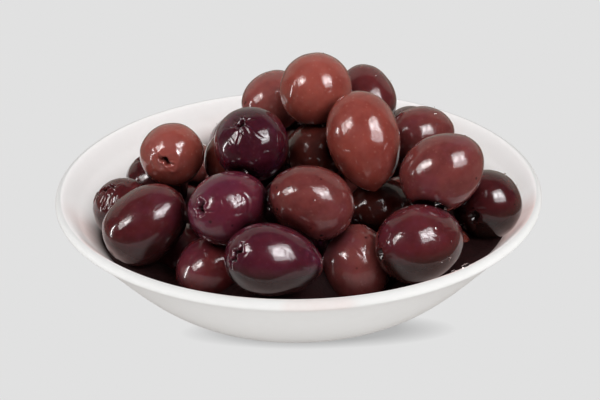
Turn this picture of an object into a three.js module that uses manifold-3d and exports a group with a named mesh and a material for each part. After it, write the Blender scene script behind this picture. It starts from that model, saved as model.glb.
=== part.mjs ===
// A round glazed dish heaped with table olives.
// Millimetres, +Z up. The origin is the centre of the dish's flat underside.
// The heap's tall side faces -Y, and the back of the dish, towards +Y, is left emptier.

import * as THREE from 'three';
import { mergeVertices } from 'three/addons/utils/BufferGeometryUtils.js';
import Module from 'manifold-3d';

const wasm = await Module();
wasm.setup();

// ---- Driving dimensions of the dish ----
const RIM_RADIUS = 70;
const DISH_HEIGHT = 31;
const FOOT_RADIUS = 30;
const LIP_RADIUS = 1.65;        // the rounded bead along the rim
const BASE_THICKNESS = 3.4;
const WALL_THICKNESS = 2.4;     // just under the bead
const FOOT_SPREAD = 16;         // how far the underside runs out level before it curves up
const WALL_TOP_RADIUS = 68.8;   // where the outer wall meets the bead
const WALL_TOP_DROP = 3.3;      // depth of that meeting line below the rim
const WALL_SLOPE = THREE.MathUtils.degToRad(42);
const WALL_EASE = 17.5;         // length over which the wall straightens towards the bead
const DISH_SEGMENTS = 64;
const WALL_STEPS = 9;
const LIP_STEPS = 7;

// ---- Driving dimensions of the heap ----
const DISH_GAP = 0.45;          // least space between an olive and the glaze
const CORE_GAP = 0.6;           // space between the core and the glaze
const OLIVE_SIDES = 10;
const OLIVE_RINGS = 6;
const OLIVE_TAPER = 0.07;       // the stem half is fuller than the tip half
const TIP_LENGTH = 0.05;        // the little point at the tip, as a share of half the length

const CROWN_HEIGHT = 65.5;      // centre height of the topmost olives
const HEAP_SLOPE = 0.56;        // fall of the heap per millimetre from its axis
const CREST_X = 5;              // the heap's crest stands right of the middle
const CREST_HEIGHT = 65;
const CREST_FALL_LEFT = 0.8;
const CREST_FALL_RIGHT = 0.65;
const BACK_FALL = 0.4845;
const UNDER_LAYER_DROP = 13;    // filling olives lie this far under the front ones
const BACK_LAYER_DROP = 1;
const FILL_RADIUS = 56;
const FILL_SPOTS = 300;
const FILL_PASSES = 12;
const FILL_DEPTH = 16;
const FILL_STEP = 1;
const FILL_LOWEST = 12;
const FILL_SEED = 23;
const FILL_HALF_WIDTH = [8.4, 1.7];     // least, and how much more at most
const FILL_SHRINK = 0.07;               // later passes lay smaller olives
const FILL_STRETCH = [1.08, 0.2];
const FILL_PITCH = [-35, 70];
const NESTLE = 1.8;             // how far a filling olive may press into its neighbours
const NEIGHBOUR_REACH = 27;
const GOLDEN_ANGLE = THREE.MathUtils.degToRad(137.508);
const FULL_TURN = 360;

// ---- Repeatable draws: a linear congruential generator over 32 bits ----
const DRAW_FACTOR = 1664525;
const DRAW_STEP = 1013904223;
const DRAW_RANGE = 2 ** 32;

const CORE_SPOKES = 40;
const CORE_RINGS = 9;
const CORE_BLEND = 7;           // how far one olive shapes the core round it
const CORE_SINK = 4;            // the core's top under the mean of the olives' centres
const CORE_FLOOR_REACH = 11;    // away from all olives the core falls to the dish within this
const CORE_LEAST = 0.5;         // the core's edge is at least this thick
const CORE_HALVINGS = 20;       // how finely its edge is found
const NECK_SIDES = 8;
const NECK_SHARE = 0.5;         // a neck's radius in its olive, as a share of the half width

// ---- The olives of the outer layer, each laid by hand ----
// Centre, length from stem to tip, width, and where the tip points: heading from +X
// about +Z, and pitch up from level, in degrees.
const SHOWN_OLIVES = [
  { name: 'crown', at: [5.5, 1.5, 62], length: 21, width: 20, heading: -95, pitch: -25 },
  { name: 'crown_front', at: [18.5, -17.5, 53.5], length: 27.5, width: 20.5, heading: -70, pitch: -55 },
  { name: 'crown_back_left', at: [-6.5, 19, 50], length: 20.5, width: 17.5, heading: 45, pitch: 15 },
  { name: 'crown_back_right', at: [20, 16.5, 51.5], length: 21, width: 17, heading: 100, pitch: 35 },
  { name: 'shoulder_left', at: [-13, -17, 53], length: 21, width: 20.5, heading: 70, pitch: -60 },
  { name: 'shoulder_right', at: [35.5, 4.5, 44.5], length: 20, width: 16.5, heading: 25, pitch: 5 },
  { name: 'pit_forward', at: [-36, -4.5, 44], length: 20.5, width: 18, heading: 110, pitch: -35 },
  { name: 'left_back', at: [-41, 7.5, 28.5], length: 20.5, width: 18, heading: -5, pitch: -65 },
  { name: 'left_wall', at: [-50, -10.5, 30], length: 19, width: 17.5, heading: -35, pitch: -80 },
  { name: 'left_front', at: [-43, -28.5, 33.5], length: 24.5, width: 21, heading: 25, pitch: 20 },
  { name: 'middle_left', at: [-19.5, -35.5, 42.5], length: 22.5, width: 20, heading: 35, pitch: -5 },
  { name: 'middle', at: [3.5, -37, 44.5], length: 23.5, width: 20, heading: -175, pitch: 30 },
  { name: 'middle_right', at: [39.5, -28, 49.5], length: 24, width: 20, heading: 5, pitch: 35 },
  { name: 'right_wall', at: [54, -26, 36.5], length: 21, width: 19, heading: 75, pitch: -5 },
  { name: 'front_right', at: [33, -43, 34], length: 24.5, width: 21.5, heading: 30, pitch: 0 },
  { name: 'front', at: [-6.5, -53.5, 35], length: 26, width: 20, heading: 5, pitch: -15 },
  { name: 'under_crown', at: [7, -4.5, 43], length: 19.5, width: 17, heading: 30, pitch: 15 },
  { name: 'under_middle', at: [22.5, -17, 32], length: 20.5, width: 17.5, heading: 25, pitch: 5 },
  { name: 'under_left', at: [-18.5, 1.5, 40.5], length: 19, width: 16.5, heading: 55, pitch: 35 },
  { name: 'low_left', at: [-24.5, -36, 23], length: 21, width: 19, heading: 65, pitch: 20 },
  { name: 'low_front', at: [16, -38, 24.5], length: 23.5, width: 17.5, heading: -90, pitch: -45 },
  { name: 'low_right', at: [39.5, -26, 23.5], length: 17.5, width: 16, heading: 20, pitch: -10 },
];

// ---------------------------------------------------------------- dish

/** Point of the outer wall and the way into the wall there, t from 0 at the foot to 1 at the bead. */
function outerWall(t) {
  const foot = new THREE.Vector2(FOOT_RADIUS, 0);
  const top = new THREE.Vector2(WALL_TOP_RADIUS, DISH_HEIGHT - WALL_TOP_DROP);
  const spread = foot.clone().add(new THREE.Vector2(FOOT_SPREAD, 0));
  const ease = top.clone().sub(new THREE.Vector2(Math.cos(WALL_SLOPE), Math.sin(WALL_SLOPE))
    .multiplyScalar(WALL_EASE));
  const curve = new THREE.CubicBezierCurve(foot, spread, ease, top);
  const along = curve.getTangent(t);
  return { point: curve.getPoint(t), inward: new THREE.Vector2(-along.y, along.x) };
}

/** Point of the inner wall that faces the outer wall's point at t. */
function innerWall(t) {
  const { point, inward } = outerWall(t);
  const thickness = THREE.MathUtils.lerp(BASE_THICKNESS, WALL_THICKNESS, t);
  return point.addScaledVector(inward, thickness);
}

/** Points of the bead, from its outer foot over the top to its inner foot. */
function lipArc() {
  const centre = new THREE.Vector2(RIM_RADIUS - LIP_RADIUS, DISH_HEIGHT - LIP_RADIUS);
  const start = WALL_SLOPE - Math.PI / 2;
  const end = WALL_SLOPE + Math.PI / 2;
  return Array.from({ length: LIP_STEPS + 1 }, (_, step) => {
    const turn = THREE.MathUtils.lerp(start, end, step / LIP_STEPS);
    return new THREE.Vector2(Math.cos(turn), Math.sin(turn)).multiplyScalar(LIP_RADIUS).add(centre);
  });
}

/** Steps along the wall, from 0 towards 1; the last is left to the bead. */
function wallSteps() {
  return Array.from({ length: WALL_STEPS }, (_, step) => step / WALL_STEPS);
}

/** The dish's inside, from its middle out to the bead, as radius and height. */
const INSIDE = [
  new THREE.Vector2(0, BASE_THICKNESS),
  ...wallSteps().map(innerWall),
  lipArc()[LIP_STEPS],
];

/** The whole dish: underside, wall, bead and inside, turned round the axis. */
function dishGeometry() {
  const profile = [
    new THREE.Vector2(0, 0),
    ...wallSteps().map((t) => outerWall(t).point),
    ...lipArc(),
    ...INSIDE.slice(0, -1).reverse(),
  ];
  return new THREE.LatheGeometry(profile, DISH_SEGMENTS).rotateX(Math.PI / 2);
}

/** Height of the inside at a distance from the axis. */
function insideHeight(radius) {
  for (let i = 1; i < INSIDE.length; i += 1) {
    const [low, high] = [INSIDE[i - 1], INSIDE[i]];
    if (radius <= high.x) {
      return low.y + (high.y - low.y) * (radius - low.x) / (high.x - low.x);
    }
  }
  return INSIDE.at(-1).y;
}

/** How far a ball is clear of the inside, and the way off the nearest wall. */
function ballClearance(centre, radius) {
  const reach = Math.hypot(centre.x, centre.y);
  const spot = new THREE.Vector2(reach, centre.z);
  let best = { clear: Infinity, away: new THREE.Vector2(0, 1) };
  for (let i = 1; i < INSIDE.length; i += 1) {
    const run = INSIDE[i].clone().sub(INSIDE[i - 1]);
    const from = spot.clone().sub(INSIDE[i - 1]);
    const t = THREE.MathUtils.clamp(from.dot(run) / run.lengthSq(), 0, 1);
    const off = from.addScaledVector(run, -t);
    const normal = new THREE.Vector2(-run.y, run.x).normalize();
    const side = off.dot(normal) >= 0 ? 1 : -1;
    if (off.length() < Math.abs(best.clear)) {
      best = { clear: side * off.length(), away: normal };
    }
  }
  return { clear: best.clear - radius, away: best.away };
}

// ---------------------------------------------------------------- olives

/** The tip's direction, from heading and pitch in degrees. */
function tipDirection(heading, pitch) {
  const turn = THREE.MathUtils.degToRad(heading);
  const lift = THREE.MathUtils.degToRad(pitch);
  return new THREE.Vector3(
    Math.cos(turn) * Math.cos(lift), Math.sin(turn) * Math.cos(lift), Math.sin(lift));
}

/** An olive as its centre, tip direction and half sizes. */
function olive(centre, halfLength, halfWidth, heading, pitch) {
  return { centre, halfLength, halfWidth, tip: tipDirection(heading, pitch) };
}

/** The balls that stand for an olive when it is set against others. */
function balls({ centre, halfLength, halfWidth, tip }) {
  const span = (halfLength ** 2 - halfWidth ** 2) / halfLength;
  return [0, -1, -0.5, 0.5, 1].map((share) => {
    const shift = span * share;
    const shrink = 1 - shift ** 2 / (halfLength ** 2 - halfWidth ** 2);
    return {
      centre: centre.clone().addScaledVector(tip, shift),
      radius: halfWidth * Math.sqrt(Math.max(0, shrink)),
    };
  });
}

/** The least clearance of an olive from the dish, and the way off the wall there. */
function dishClearance(fruit) {
  return balls(fruit)
    .map((ball) => ({ ...ballClearance(ball.centre, ball.radius), ball }))
    .reduce((least, next) => (next.clear < least.clear ? next : least));
}

/** Moves an olive off the wall until it is clear of the glaze. */
function liftOffDish(fruit) {
  const { clear, away, ball } = dishClearance(fruit);
  if (clear < DISH_GAP) {
    const reach = Math.hypot(ball.centre.x, ball.centre.y);
    const outward = away.x / reach;
    fruit.centre.add(new THREE.Vector3(ball.centre.x * outward, ball.centre.y * outward, away.y)
      .multiplyScalar(DISH_GAP - clear));
  }
  return fruit;
}

/** Whether two olives press into each other too far. */
function cross(one, other) {
  if (one.centre.distanceTo(other.centre) > NEIGHBOUR_REACH) return false;
  return balls(one).some((a) => balls(other).some(
    (b) => a.centre.distanceTo(b.centre) < a.radius + b.radius - NESTLE));
}

/** Repeatable draws from 0 to 1. */
function makeDraws(seed) {
  let state = seed;
  return () => {
    state = (state * DRAW_FACTOR + DRAW_STEP) % DRAW_RANGE;
    return state / DRAW_RANGE;
  };
}

/** Highest centre that a filling olive may have at a spot. */
function fillCeiling(x, y) {
  const fall = x < CREST_X ? CREST_FALL_LEFT : CREST_FALL_RIGHT;
  const crest = CREST_HEIGHT - fall * Math.abs(x - CREST_X) - BACK_FALL * y;
  const layer = y < 0 ? UNDER_LAYER_DROP : BACK_LAYER_DROP;
  return Math.min(crest, CROWN_HEIGHT - HEAP_SLOPE * Math.hypot(x, y) - layer);
}

/** Olives that fill the heap behind and under the outer ones, on a golden-angle spiral. */
function fillingOlives(shown) {
  const draw = makeDraws(FILL_SEED);
  const laid = [...shown];
  for (let pass = 0; pass < FILL_PASSES; pass += 1) {
    for (let spot = 0; spot < FILL_SPOTS; spot += 1) {
      const radius = FILL_RADIUS * Math.sqrt((spot + 0.5) / FILL_SPOTS);
      const turn = (spot + pass * 0.5) * GOLDEN_ANGLE;
      const [x, y] = [radius * Math.cos(turn), radius * Math.sin(turn)];
      const halfWidth = FILL_HALF_WIDTH[0] + FILL_HALF_WIDTH[1] * draw() - FILL_SHRINK * pass;
      const halfLength = halfWidth * (FILL_STRETCH[0] + FILL_STRETCH[1] * draw());
      const heading = FULL_TURN * draw();
      const pitch = FILL_PITCH[0] + FILL_PITCH[1] * draw();
      const top = fillCeiling(x, y);
      for (let z = top; z >= Math.max(FILL_LOWEST, top - FILL_DEPTH); z -= FILL_STEP) {
        const next = olive(new THREE.Vector3(x, y, z), halfLength, halfWidth, heading, pitch);
        if (dishClearance(next).clear > DISH_GAP && !laid.some((other) => cross(next, other))) {
          laid.push(next);
          break;
        }
      }
    }
  }
  return laid.slice(shown.length);
}

/** An olive's closed faceted body: an egg with a small point at its tip. */
function oliveGeometry({ centre, halfLength, halfWidth, tip }) {
  const profile = Array.from({ length: OLIVE_RINGS + 1 }, (_, ring) => {
    const turn = Math.PI * ring / OLIVE_RINGS;
    const along = -Math.cos(turn);
    const point = ring === OLIVE_RINGS ? TIP_LENGTH : 0;
    return new THREE.Vector2(
      halfWidth * Math.sin(turn) * (1 - OLIVE_TAPER * along), halfLength * (along + point));
  });
  profile[0].x = 0;
  profile[OLIVE_RINGS].x = 0;
  const pose = new THREE.Quaternion().setFromUnitVectors(new THREE.Vector3(0, 1, 0), tip);
  return new THREE.LatheGeometry(profile, OLIVE_SIDES)
    .applyQuaternion(pose)
    .translate(centre.x, centre.y, centre.z);
}

// ---------------------------------------------------------------- heap

/** Height of the core's top at a spot: it follows the olives round it. */
function coreTop(x, y, olives) {
  const floor = insideHeight(Math.hypot(x, y)) + CORE_GAP;
  let weight = Math.exp(-(CORE_FLOOR_REACH ** 2) / (2 * CORE_BLEND ** 2));
  let sum = weight * floor;
  for (const { centre } of olives) {
    const apart = (centre.x - x) ** 2 + (centre.y - y) ** 2;
    const share = Math.exp(-apart / (2 * CORE_BLEND ** 2));
    weight += share;
    sum += share * centre.z;
  }
  return Math.max(sum / weight - CORE_SINK, floor + CORE_LEAST);
}

/** The core's outer radius along one spoke, where its top meets the gap over the glaze. */
function coreRadius(turn, olives) {
  let [low, high] = [FOOT_RADIUS, RIM_RADIUS - 2 * LIP_RADIUS - CORE_GAP];
  for (let halving = 0; halving < CORE_HALVINGS; halving += 1) {
    const radius = (low + high) / 2;
    const floor = insideHeight(radius) + CORE_GAP;
    const top = coreTop(radius * Math.cos(turn), radius * Math.sin(turn), olives);
    if (top > floor + CORE_LEAST) low = radius;
    else high = radius;
  }
  return low;
}

/** The closed core: a top that follows the olives over a bottom that follows the dish. */
function coreGeometry(olives) {
  const turns = Array.from({ length: CORE_SPOKES }, (_, spoke) => 2 * Math.PI * spoke / CORE_SPOKES);
  const met = turns.map((turn) => coreRadius(turn, olives));
  const reach = met.map((_, spoke) => Math.min(
    met.at(spoke - 1), met[spoke], met[(spoke + 1) % CORE_SPOKES]));
  const tops = [new THREE.Vector3(0, 0, coreTop(0, 0, olives))];
  const bottoms = [new THREE.Vector3(0, 0, insideHeight(0) + CORE_GAP)];
  for (let ring = 1; ring <= CORE_RINGS; ring += 1) {
    turns.forEach((turn, spoke) => {
      const radius = reach[spoke] * ring / CORE_RINGS;
      const [x, y] = [radius * Math.cos(turn), radius * Math.sin(turn)];
      tops.push(new THREE.Vector3(x, y, coreTop(x, y, olives)));
      bottoms.push(new THREE.Vector3(x, y, insideHeight(radius) + CORE_GAP));
    });
  }
  const corners = [...tops, ...bottoms];
  const faces = [];
  const vertex = (ring, spoke) => (ring === 0 ? 0 : 1 + (ring - 1) * CORE_SPOKES + spoke % CORE_SPOKES);
  const under = tops.length;
  for (let spoke = 0; spoke < CORE_SPOKES; spoke += 1) {
    for (let ring = 0; ring < CORE_RINGS; ring += 1) {
      const [a, b] = [vertex(ring, spoke), vertex(ring, spoke + 1)];
      const [c, d] = [vertex(ring + 1, spoke), vertex(ring + 1, spoke + 1)];
      faces.push(a, c, d, under + a, under + d, under + c);
      if (ring > 0) faces.push(a, d, b, under + a, under + b, under + d);
    }
    const [rim, next] = [vertex(CORE_RINGS, spoke), vertex(CORE_RINGS, spoke + 1)];
    faces.push(rim, under + rim, under + next, rim, under + next, next);
  }
  const geometry = new THREE.BufferGeometry().setFromPoints(corners);
  geometry.setIndex(faces);
  return geometry;
}

/** A neck that stands in the core, over the glaze, and ends inside an olive, to carry it. */
function neckGeometry({ centre, halfWidth }, olives) {
  const radius = halfWidth * NECK_SHARE;
  const floor = insideHeight(Math.hypot(centre.x, centre.y) + radius) + CORE_GAP;
  const foot = Math.max(floor, coreTop(centre.x, centre.y, olives) - CORE_SINK);
  const length = centre.z - foot;
  return new THREE.CylinderGeometry(radius, radius, length, NECK_SIDES)
    .rotateX(Math.PI / 2)
    .translate(centre.x, centre.y, foot + length / 2);
}

/** A closed geometry as a solid that can be joined. */
function toSolid(geometry) {
  const bare = geometry.clone();
  bare.deleteAttribute('normal');
  bare.deleteAttribute('uv');
  const merged = mergeVertices(bare);
  return new wasm.Manifold(new wasm.Mesh({
    numProp: 3,
    vertProperties: merged.getAttribute('position').array,
    triVerts: Uint32Array.from(merged.getIndex().array),
  }));
}

/** A joined solid as a geometry. */
function toGeometry(solid) {
  const { vertProperties, triVerts } = solid.getMesh();
  const geometry = new THREE.BufferGeometry();
  geometry.setAttribute('position', new THREE.BufferAttribute(vertProperties, 3));
  geometry.setIndex(new THREE.BufferAttribute(triVerts, 1));
  geometry.computeVertexNormals();
  return geometry;
}

/** Core and olives fused; enclosed hollows are filled, and what isn't joined is dropped. */
function heapGeometry(olives) {
  const carried = olives.filter(
    ({ centre }) => centre.z - coreTop(centre.x, centre.y, olives) > CORE_SINK);
  const pieces = [
    ...olives.map((fruit) => oliveGeometry(fruit)),
    ...carried.map((fruit) => neckGeometry(fruit, olives)),
  ];
  const fused = pieces.reduce((heap, piece) => heap.add(toSolid(piece)), toSolid(coreGeometry(olives)));
  const largest = fused.decompose()
    .reduce((most, piece) => (piece.volume() > most.volume() ? piece : most));
  return toGeometry(largest);
}

// ---------------------------------------------------------------- assembly

const glaze = new THREE.MeshStandardMaterial({ color: 0xecebe8, roughness: 0.2, metalness: 0 });
const skin = new THREE.MeshStandardMaterial({ color: 0x5a2a2c, roughness: 0.15, metalness: 0 });

const shownOlives = SHOWN_OLIVES.map(({ at, length, width, heading, pitch }) => liftOffDish(
  olive(new THREE.Vector3(...at), length / 2, width / 2, heading, pitch)));
const olives = [...shownOlives, ...fillingOlives(shownOlives)];

const dish = new THREE.Mesh(dishGeometry(), glaze);
dish.name = 'dish';

const heap = new THREE.Mesh(heapGeometry(olives), skin);
heap.name = 'olives';

const dishOfOlives = new THREE.Group();
dishOfOlives.add(dish, heap);

export default dishOfOlives;
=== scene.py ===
"""Dresses the dish of olives: a glazed dish, its heap of wet table olives and a plain studio.

Lengths are in millimetres in every class, and become metres where a mesh is made. The dish stands
on z = 0, the heap's tall side faces -Y, and headings turn from +X about +Z.
"""

from __future__ import annotations

import logging
import math
from dataclasses import dataclass, field, replace
from enum import Enum
from typing import Callable, Sequence, Union

import bpy
import numpy as np
from mathutils import Matrix, Vector


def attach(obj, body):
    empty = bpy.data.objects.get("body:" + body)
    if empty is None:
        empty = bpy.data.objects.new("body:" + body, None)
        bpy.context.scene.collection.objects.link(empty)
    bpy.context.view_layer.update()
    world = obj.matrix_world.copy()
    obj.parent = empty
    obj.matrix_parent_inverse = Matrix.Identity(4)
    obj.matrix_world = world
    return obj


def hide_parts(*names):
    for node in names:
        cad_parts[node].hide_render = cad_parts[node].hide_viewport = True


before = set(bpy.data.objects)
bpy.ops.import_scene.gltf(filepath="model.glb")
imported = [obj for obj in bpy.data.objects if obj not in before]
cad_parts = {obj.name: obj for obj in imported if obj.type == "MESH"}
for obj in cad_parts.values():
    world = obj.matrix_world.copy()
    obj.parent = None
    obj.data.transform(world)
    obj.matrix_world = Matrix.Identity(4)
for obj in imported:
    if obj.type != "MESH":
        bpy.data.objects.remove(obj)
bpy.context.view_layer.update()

LOG = logging.getLogger("dish_of_olives")
MM = 0.001
FULL_TURN = 360.0
BODY = "root"
GLAZE_SLOT = "glaze"
SKIN_SLOT = "olive_skin"

Colour = tuple[float, float, float]
Value = Union[float, Sequence[float], bpy.types.NodeSocket]
UNIT = (0.0, 1.0)


# ---------------------------------------------------------------- meshes and nodes


@dataclass
class Shell:
    """Vertices, faces and painted values of one closed surface, in millimetres."""

    points: np.ndarray
    triangles: np.ndarray
    paint: dict[str, np.ndarray] = field(default_factory=dict)


def join_shells(shells: Sequence[Shell]) -> Shell:
    """Puts several shells into one.

    Args:
        shells: The shells, with the same painted values.

    Returns:
        One shell that holds them all.
    """
    offsets = np.cumsum([0] + [len(shell.points) for shell in shells[:-1]])
    return Shell(
        points=np.concatenate([shell.points for shell in shells]),
        triangles=np.concatenate([shell.triangles + at for shell, at in zip(shells, offsets)]),
        paint={
            name: np.concatenate([shell.paint[name] for shell in shells])
            for name in shells[0].paint
        },
    )


def make_piece(name: str, shell: Shell, material: bpy.types.Material) -> bpy.types.Object:
    """Makes a smooth-shaded mesh object of a shell.

    Args:
        name: The piece's name.
        shell: Its surface, in millimetres.
        material: Its finish.

    Returns:
        The object, linked to the scene and in metres.
    """
    mesh = bpy.data.meshes.new(name)
    count = len(shell.triangles)
    mesh.vertices.add(len(shell.points))
    mesh.vertices.foreach_set("co", (shell.points * MM).astype(np.float32).ravel())
    mesh.loops.add(count * 3)
    mesh.loops.foreach_set("vertex_index", shell.triangles.astype(np.int32).ravel())
    mesh.polygons.add(count)
    mesh.polygons.foreach_set("loop_start", np.arange(0, count * 3, 3, dtype=np.int32))
    mesh.polygons.foreach_set("use_smooth", np.ones(count, dtype=bool))
    mesh.update(calc_edges=True)
    mesh.validate()
    for key, values in shell.paint.items():
        layer = mesh.attributes.new(key, "FLOAT", "POINT")
        layer.data.foreach_set("value", values.astype(np.float32))
    mesh.materials.append(material)
    piece = bpy.data.objects.new(name, mesh)
    bpy.context.scene.collection.objects.link(piece)
    return piece


def dress(piece: bpy.types.Object, slot: str, *nodes: str) -> None:
    """Lets a piece ride on the body and stand for frame nodes.

    Args:
        piece: The piece.
        slot: The record's material slot; not used.
        nodes: The frame nodes that it replaces.
    """
    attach(piece, BODY)
    if nodes:
        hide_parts(*nodes)
    LOG.info("%s: %d triangles", piece.name, len(piece.data.polygons))


def grid_triangles(rows: int, columns: int) -> np.ndarray:
    """Triangles of a tube of rows that close round their columns.

    Args:
        rows: How many rings of vertices there are.
        columns: How many vertices a ring has.

    Returns:
        Vertex numbers, three to a triangle.
    """
    row, column = np.meshgrid(np.arange(rows - 1), np.arange(columns), indexing="ij")
    following = (column + 1) % columns
    a = row * columns + column
    b = row * columns + following
    c = (row + 1) * columns + column
    d = (row + 1) * columns + following
    return np.concatenate([
        np.stack([a, b, d], -1).reshape(-1, 3),
        np.stack([a, d, c], -1).reshape(-1, 3),
    ])


def closed_tube(rings: np.ndarray, first: np.ndarray, last: np.ndarray) -> tuple[np.ndarray, np.ndarray]:
    """A tube of rings, closed by one vertex at each end.

    Args:
        rings: Vertices as rows of rings.
        first: The vertex before the first ring.
        last: The vertex after the last ring.

    Returns:
        All vertices, and the triangles.
    """
    rows, columns, _ = rings.shape
    points = np.concatenate([rings.reshape(-1, 3), [first], [last]])
    start, end = rows * columns, rows * columns + 1
    around = np.arange(columns)
    following = (around + 1) % columns
    base = (rows - 1) * columns
    caps = np.concatenate([
        np.stack([np.full(columns, start), following, around], -1),
        np.stack([np.full(columns, end), base + around, base + following], -1),
    ])
    return points, np.concatenate([grid_triangles(rows, columns), caps])


def circle(count: int) -> np.ndarray:
    """Evenly spread turns round a full circle."""
    return np.arange(count) * 2 * math.pi / count


def cubic(t: np.ndarray, poles: Sequence[np.ndarray]) -> np.ndarray:
    """Points of a cubic curve with four poles, at shares of its run."""
    return ((1 - t) ** 3 * poles[0] + 3 * (1 - t) ** 2 * t * poles[1]
            + 3 * (1 - t) * t ** 2 * poles[2] + t ** 3 * poles[3])


def unit(way: np.ndarray) -> np.ndarray:
    """A direction with length 1."""
    return way / np.linalg.norm(way)


def drawn(span: tuple[float, float], share: float) -> float:
    """A value from its least and its spread, at a share of the spread."""
    return span[0] + span[1] * share


class Graph:
    """A node tree with a short way to add nodes and join them."""

    def __init__(self, tree: bpy.types.NodeTree) -> None:
        """Takes the tree that it fills."""
        self.tree = tree

    def add(self, kind: str, inputs: dict[Union[str, int], Value] | None = None,
            **settings: object) -> bpy.types.Node:
        """Adds a node.

        Args:
            kind: The node's type.
            inputs: Values or sockets for its inputs, by name or number.
            settings: Its own properties.

        Returns:
            The node.
        """
        node = self.tree.nodes.new(kind)
        for name, value in settings.items():
            setattr(node, name, value)
        self.fill(node, inputs or {})
        return node

    def put(self, value: Value, socket: bpy.types.NodeSocket) -> None:
        """Joins a value to a socket, or sets it there."""
        if isinstance(value, bpy.types.NodeSocket):
            self.tree.links.new(value, socket)
        else:
            socket.default_value = value

    def fill(self, node: bpy.types.Node, inputs: dict[Union[str, int], Value]) -> None:
        """Puts values on a node's inputs."""
        for key, value in inputs.items():
            self.put(value, node.inputs[key])

    def paint(self, name: str) -> bpy.types.NodeSocket:
        """A value that is painted on the mesh."""
        return self.add("ShaderNodeAttribute", attribute_name=name).outputs["Fac"]

    def math(self, operation: str, first: Value, second: Value = 0.0) -> bpy.types.NodeSocket:
        """The result of a sum on one or two values."""
        return self.add("ShaderNodeMath", {0: first, 1: second}, operation=operation).outputs[0]

    def blend(self, share: Value, first: Value, second: Value) -> bpy.types.NodeSocket:
        """A colour between two others.

        Args:
            share: How much of the second colour shows.
            first: The colour at 0.
            second: The colour at 1.

        Returns:
            The blended colour.
        """
        node = self.add("ShaderNodeMix", data_type="RGBA")
        for name, value in (("Factor_Float", share), ("A_Color", first), ("B_Color", second)):
            self.put(value, next(entry for entry in node.inputs if entry.identifier == name))
        return next(entry for entry in node.outputs if entry.identifier == "Result_Color")

    def span(self, value: Value, source: tuple[float, float],
             target: tuple[float, float]) -> bpy.types.NodeSocket:
        """A value moved from one range to another, and kept inside it."""
        return self.add("ShaderNodeMapRange", {
            "Value": value, "From Min": source[0], "From Max": source[1],
            "To Min": target[0], "To Max": target[1],
        }).outputs["Result"]


def rgba(colour: Colour) -> tuple[float, float, float, float]:
    """A colour with full opacity."""
    return (*colour, 1.0)


def new_material(name: str) -> tuple[bpy.types.Material, Graph, bpy.types.Node, bpy.types.NodeSocket]:
    """An empty node material.

    Args:
        name: The material's name.

    Returns:
        The material, its graph, its surface shader and a point's place on the object.
    """
    material = bpy.data.materials.new(name)
    material.use_nodes = True
    graph = Graph(material.node_tree)
    place = graph.add("ShaderNodeTexCoord").outputs["Object"]
    return material, graph, material.node_tree.nodes["Principled BSDF"], place


class SharedEffect:
    """A shader node group that several materials place with their own values."""

    def __init__(self, name: str, inputs: dict[str, tuple[str, object]], outputs: dict[str, str],
                 wire: Callable[[Graph, bpy.types.Node, bpy.types.Node], None]) -> None:
        """Builds the group once.

        Args:
            name: The group's name.
            inputs: Kind and usual value of each named input.
            outputs: Kind of each named output.
            wire: Fills the group between its input and output nodes.
        """
        self.tree = bpy.data.node_groups.new(name, "ShaderNodeTree")
        for key, (kind, usual) in inputs.items():
            socket = self.tree.interface.new_socket(key, in_out="INPUT", socket_type=kind)
            if usual is not None:
                socket.default_value = usual
        for key, kind in outputs.items():
            self.tree.interface.new_socket(key, in_out="OUTPUT", socket_type=kind)
        graph = Graph(self.tree)
        wire(graph, graph.add("NodeGroupInput"), graph.add("NodeGroupOutput"))

    def place(self, graph: Graph, **values: Value) -> bpy.types.Node:
        """Places the group in a material, with its values by input name."""
        inputs = {key.replace("_", " "): value for key, value in values.items()}
        return graph.add("ShaderNodeGroup", inputs, node_tree=self.tree)


# ---------------------------------------------------------------- shared effects

FINE_CLOUDS = 5.3
BROAD_SHARE = 0.7
CLOUD_SPAN = (0.33, 0.67)
SPOT_EDGE = 0.45
PORE_SCALE = 3.1
PORE_EDGE = 0.5
VECTOR, NUMBER = "NodeSocketVector", "NodeSocketFloat"


def wire_mottle(graph: Graph, given: bpy.types.Node, out: bpy.types.Node) -> None:
    """Soft cloudy patches with finer ones inside them.

    Args:
        graph: The group's graph.
        given: Its input node.
        out: Its output node.
    """
    broad = graph.add("ShaderNodeTexNoise", {
        "Vector": given.outputs["Vector"], "Scale": given.outputs["Scale"], "Detail": 3.0,
        "Roughness": 0.55, "Distortion": 0.4,
    })
    finer = graph.math("MULTIPLY", given.outputs["Scale"], FINE_CLOUDS)
    fine = graph.add("ShaderNodeTexNoise", {
        "Vector": given.outputs["Vector"], "Scale": finer, "Detail": 2.0, "Roughness": 0.6,
    })
    broad_share = graph.math("MULTIPLY", broad.outputs["Fac"], BROAD_SHARE)
    fine_share = graph.math("MULTIPLY", fine.outputs["Fac"], 1 - BROAD_SHARE)
    whole = graph.math("ADD", broad_share, fine_share)
    graph.put(graph.span(whole, CLOUD_SPAN, UNIT), out.inputs["Factor"])


def wire_freckles(graph: Graph, given: bpy.types.Node, out: bpy.types.Node) -> None:
    """Small round spots in some of the cells of an even scatter.

    Args:
        graph: The group's graph.
        given: Its input node.
        out: Its output node.
    """
    cells = graph.add("ShaderNodeTexVoronoi", {
        "Vector": given.outputs["Vector"], "Scale": given.outputs["Scale"], "Randomness": 1.0,
    })
    pick = graph.add("ShaderNodeSeparateColor", {"Color": cells.outputs["Color"]})
    chosen = graph.math("LESS_THAN", pick.outputs["Red"], given.outputs["Share"])
    size = graph.math("MULTIPLY", given.outputs["Size"], graph.math("ADD", pick.outputs["Green"], 0.5))
    edge = graph.math("SUBTRACT", 1.0, graph.math("DIVIDE", cells.outputs["Distance"], size))
    soft = graph.span(edge, (0.0, SPOT_EDGE), UNIT)
    graph.put(graph.math("MULTIPLY", soft, chosen), out.inputs["Mask"])


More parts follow.
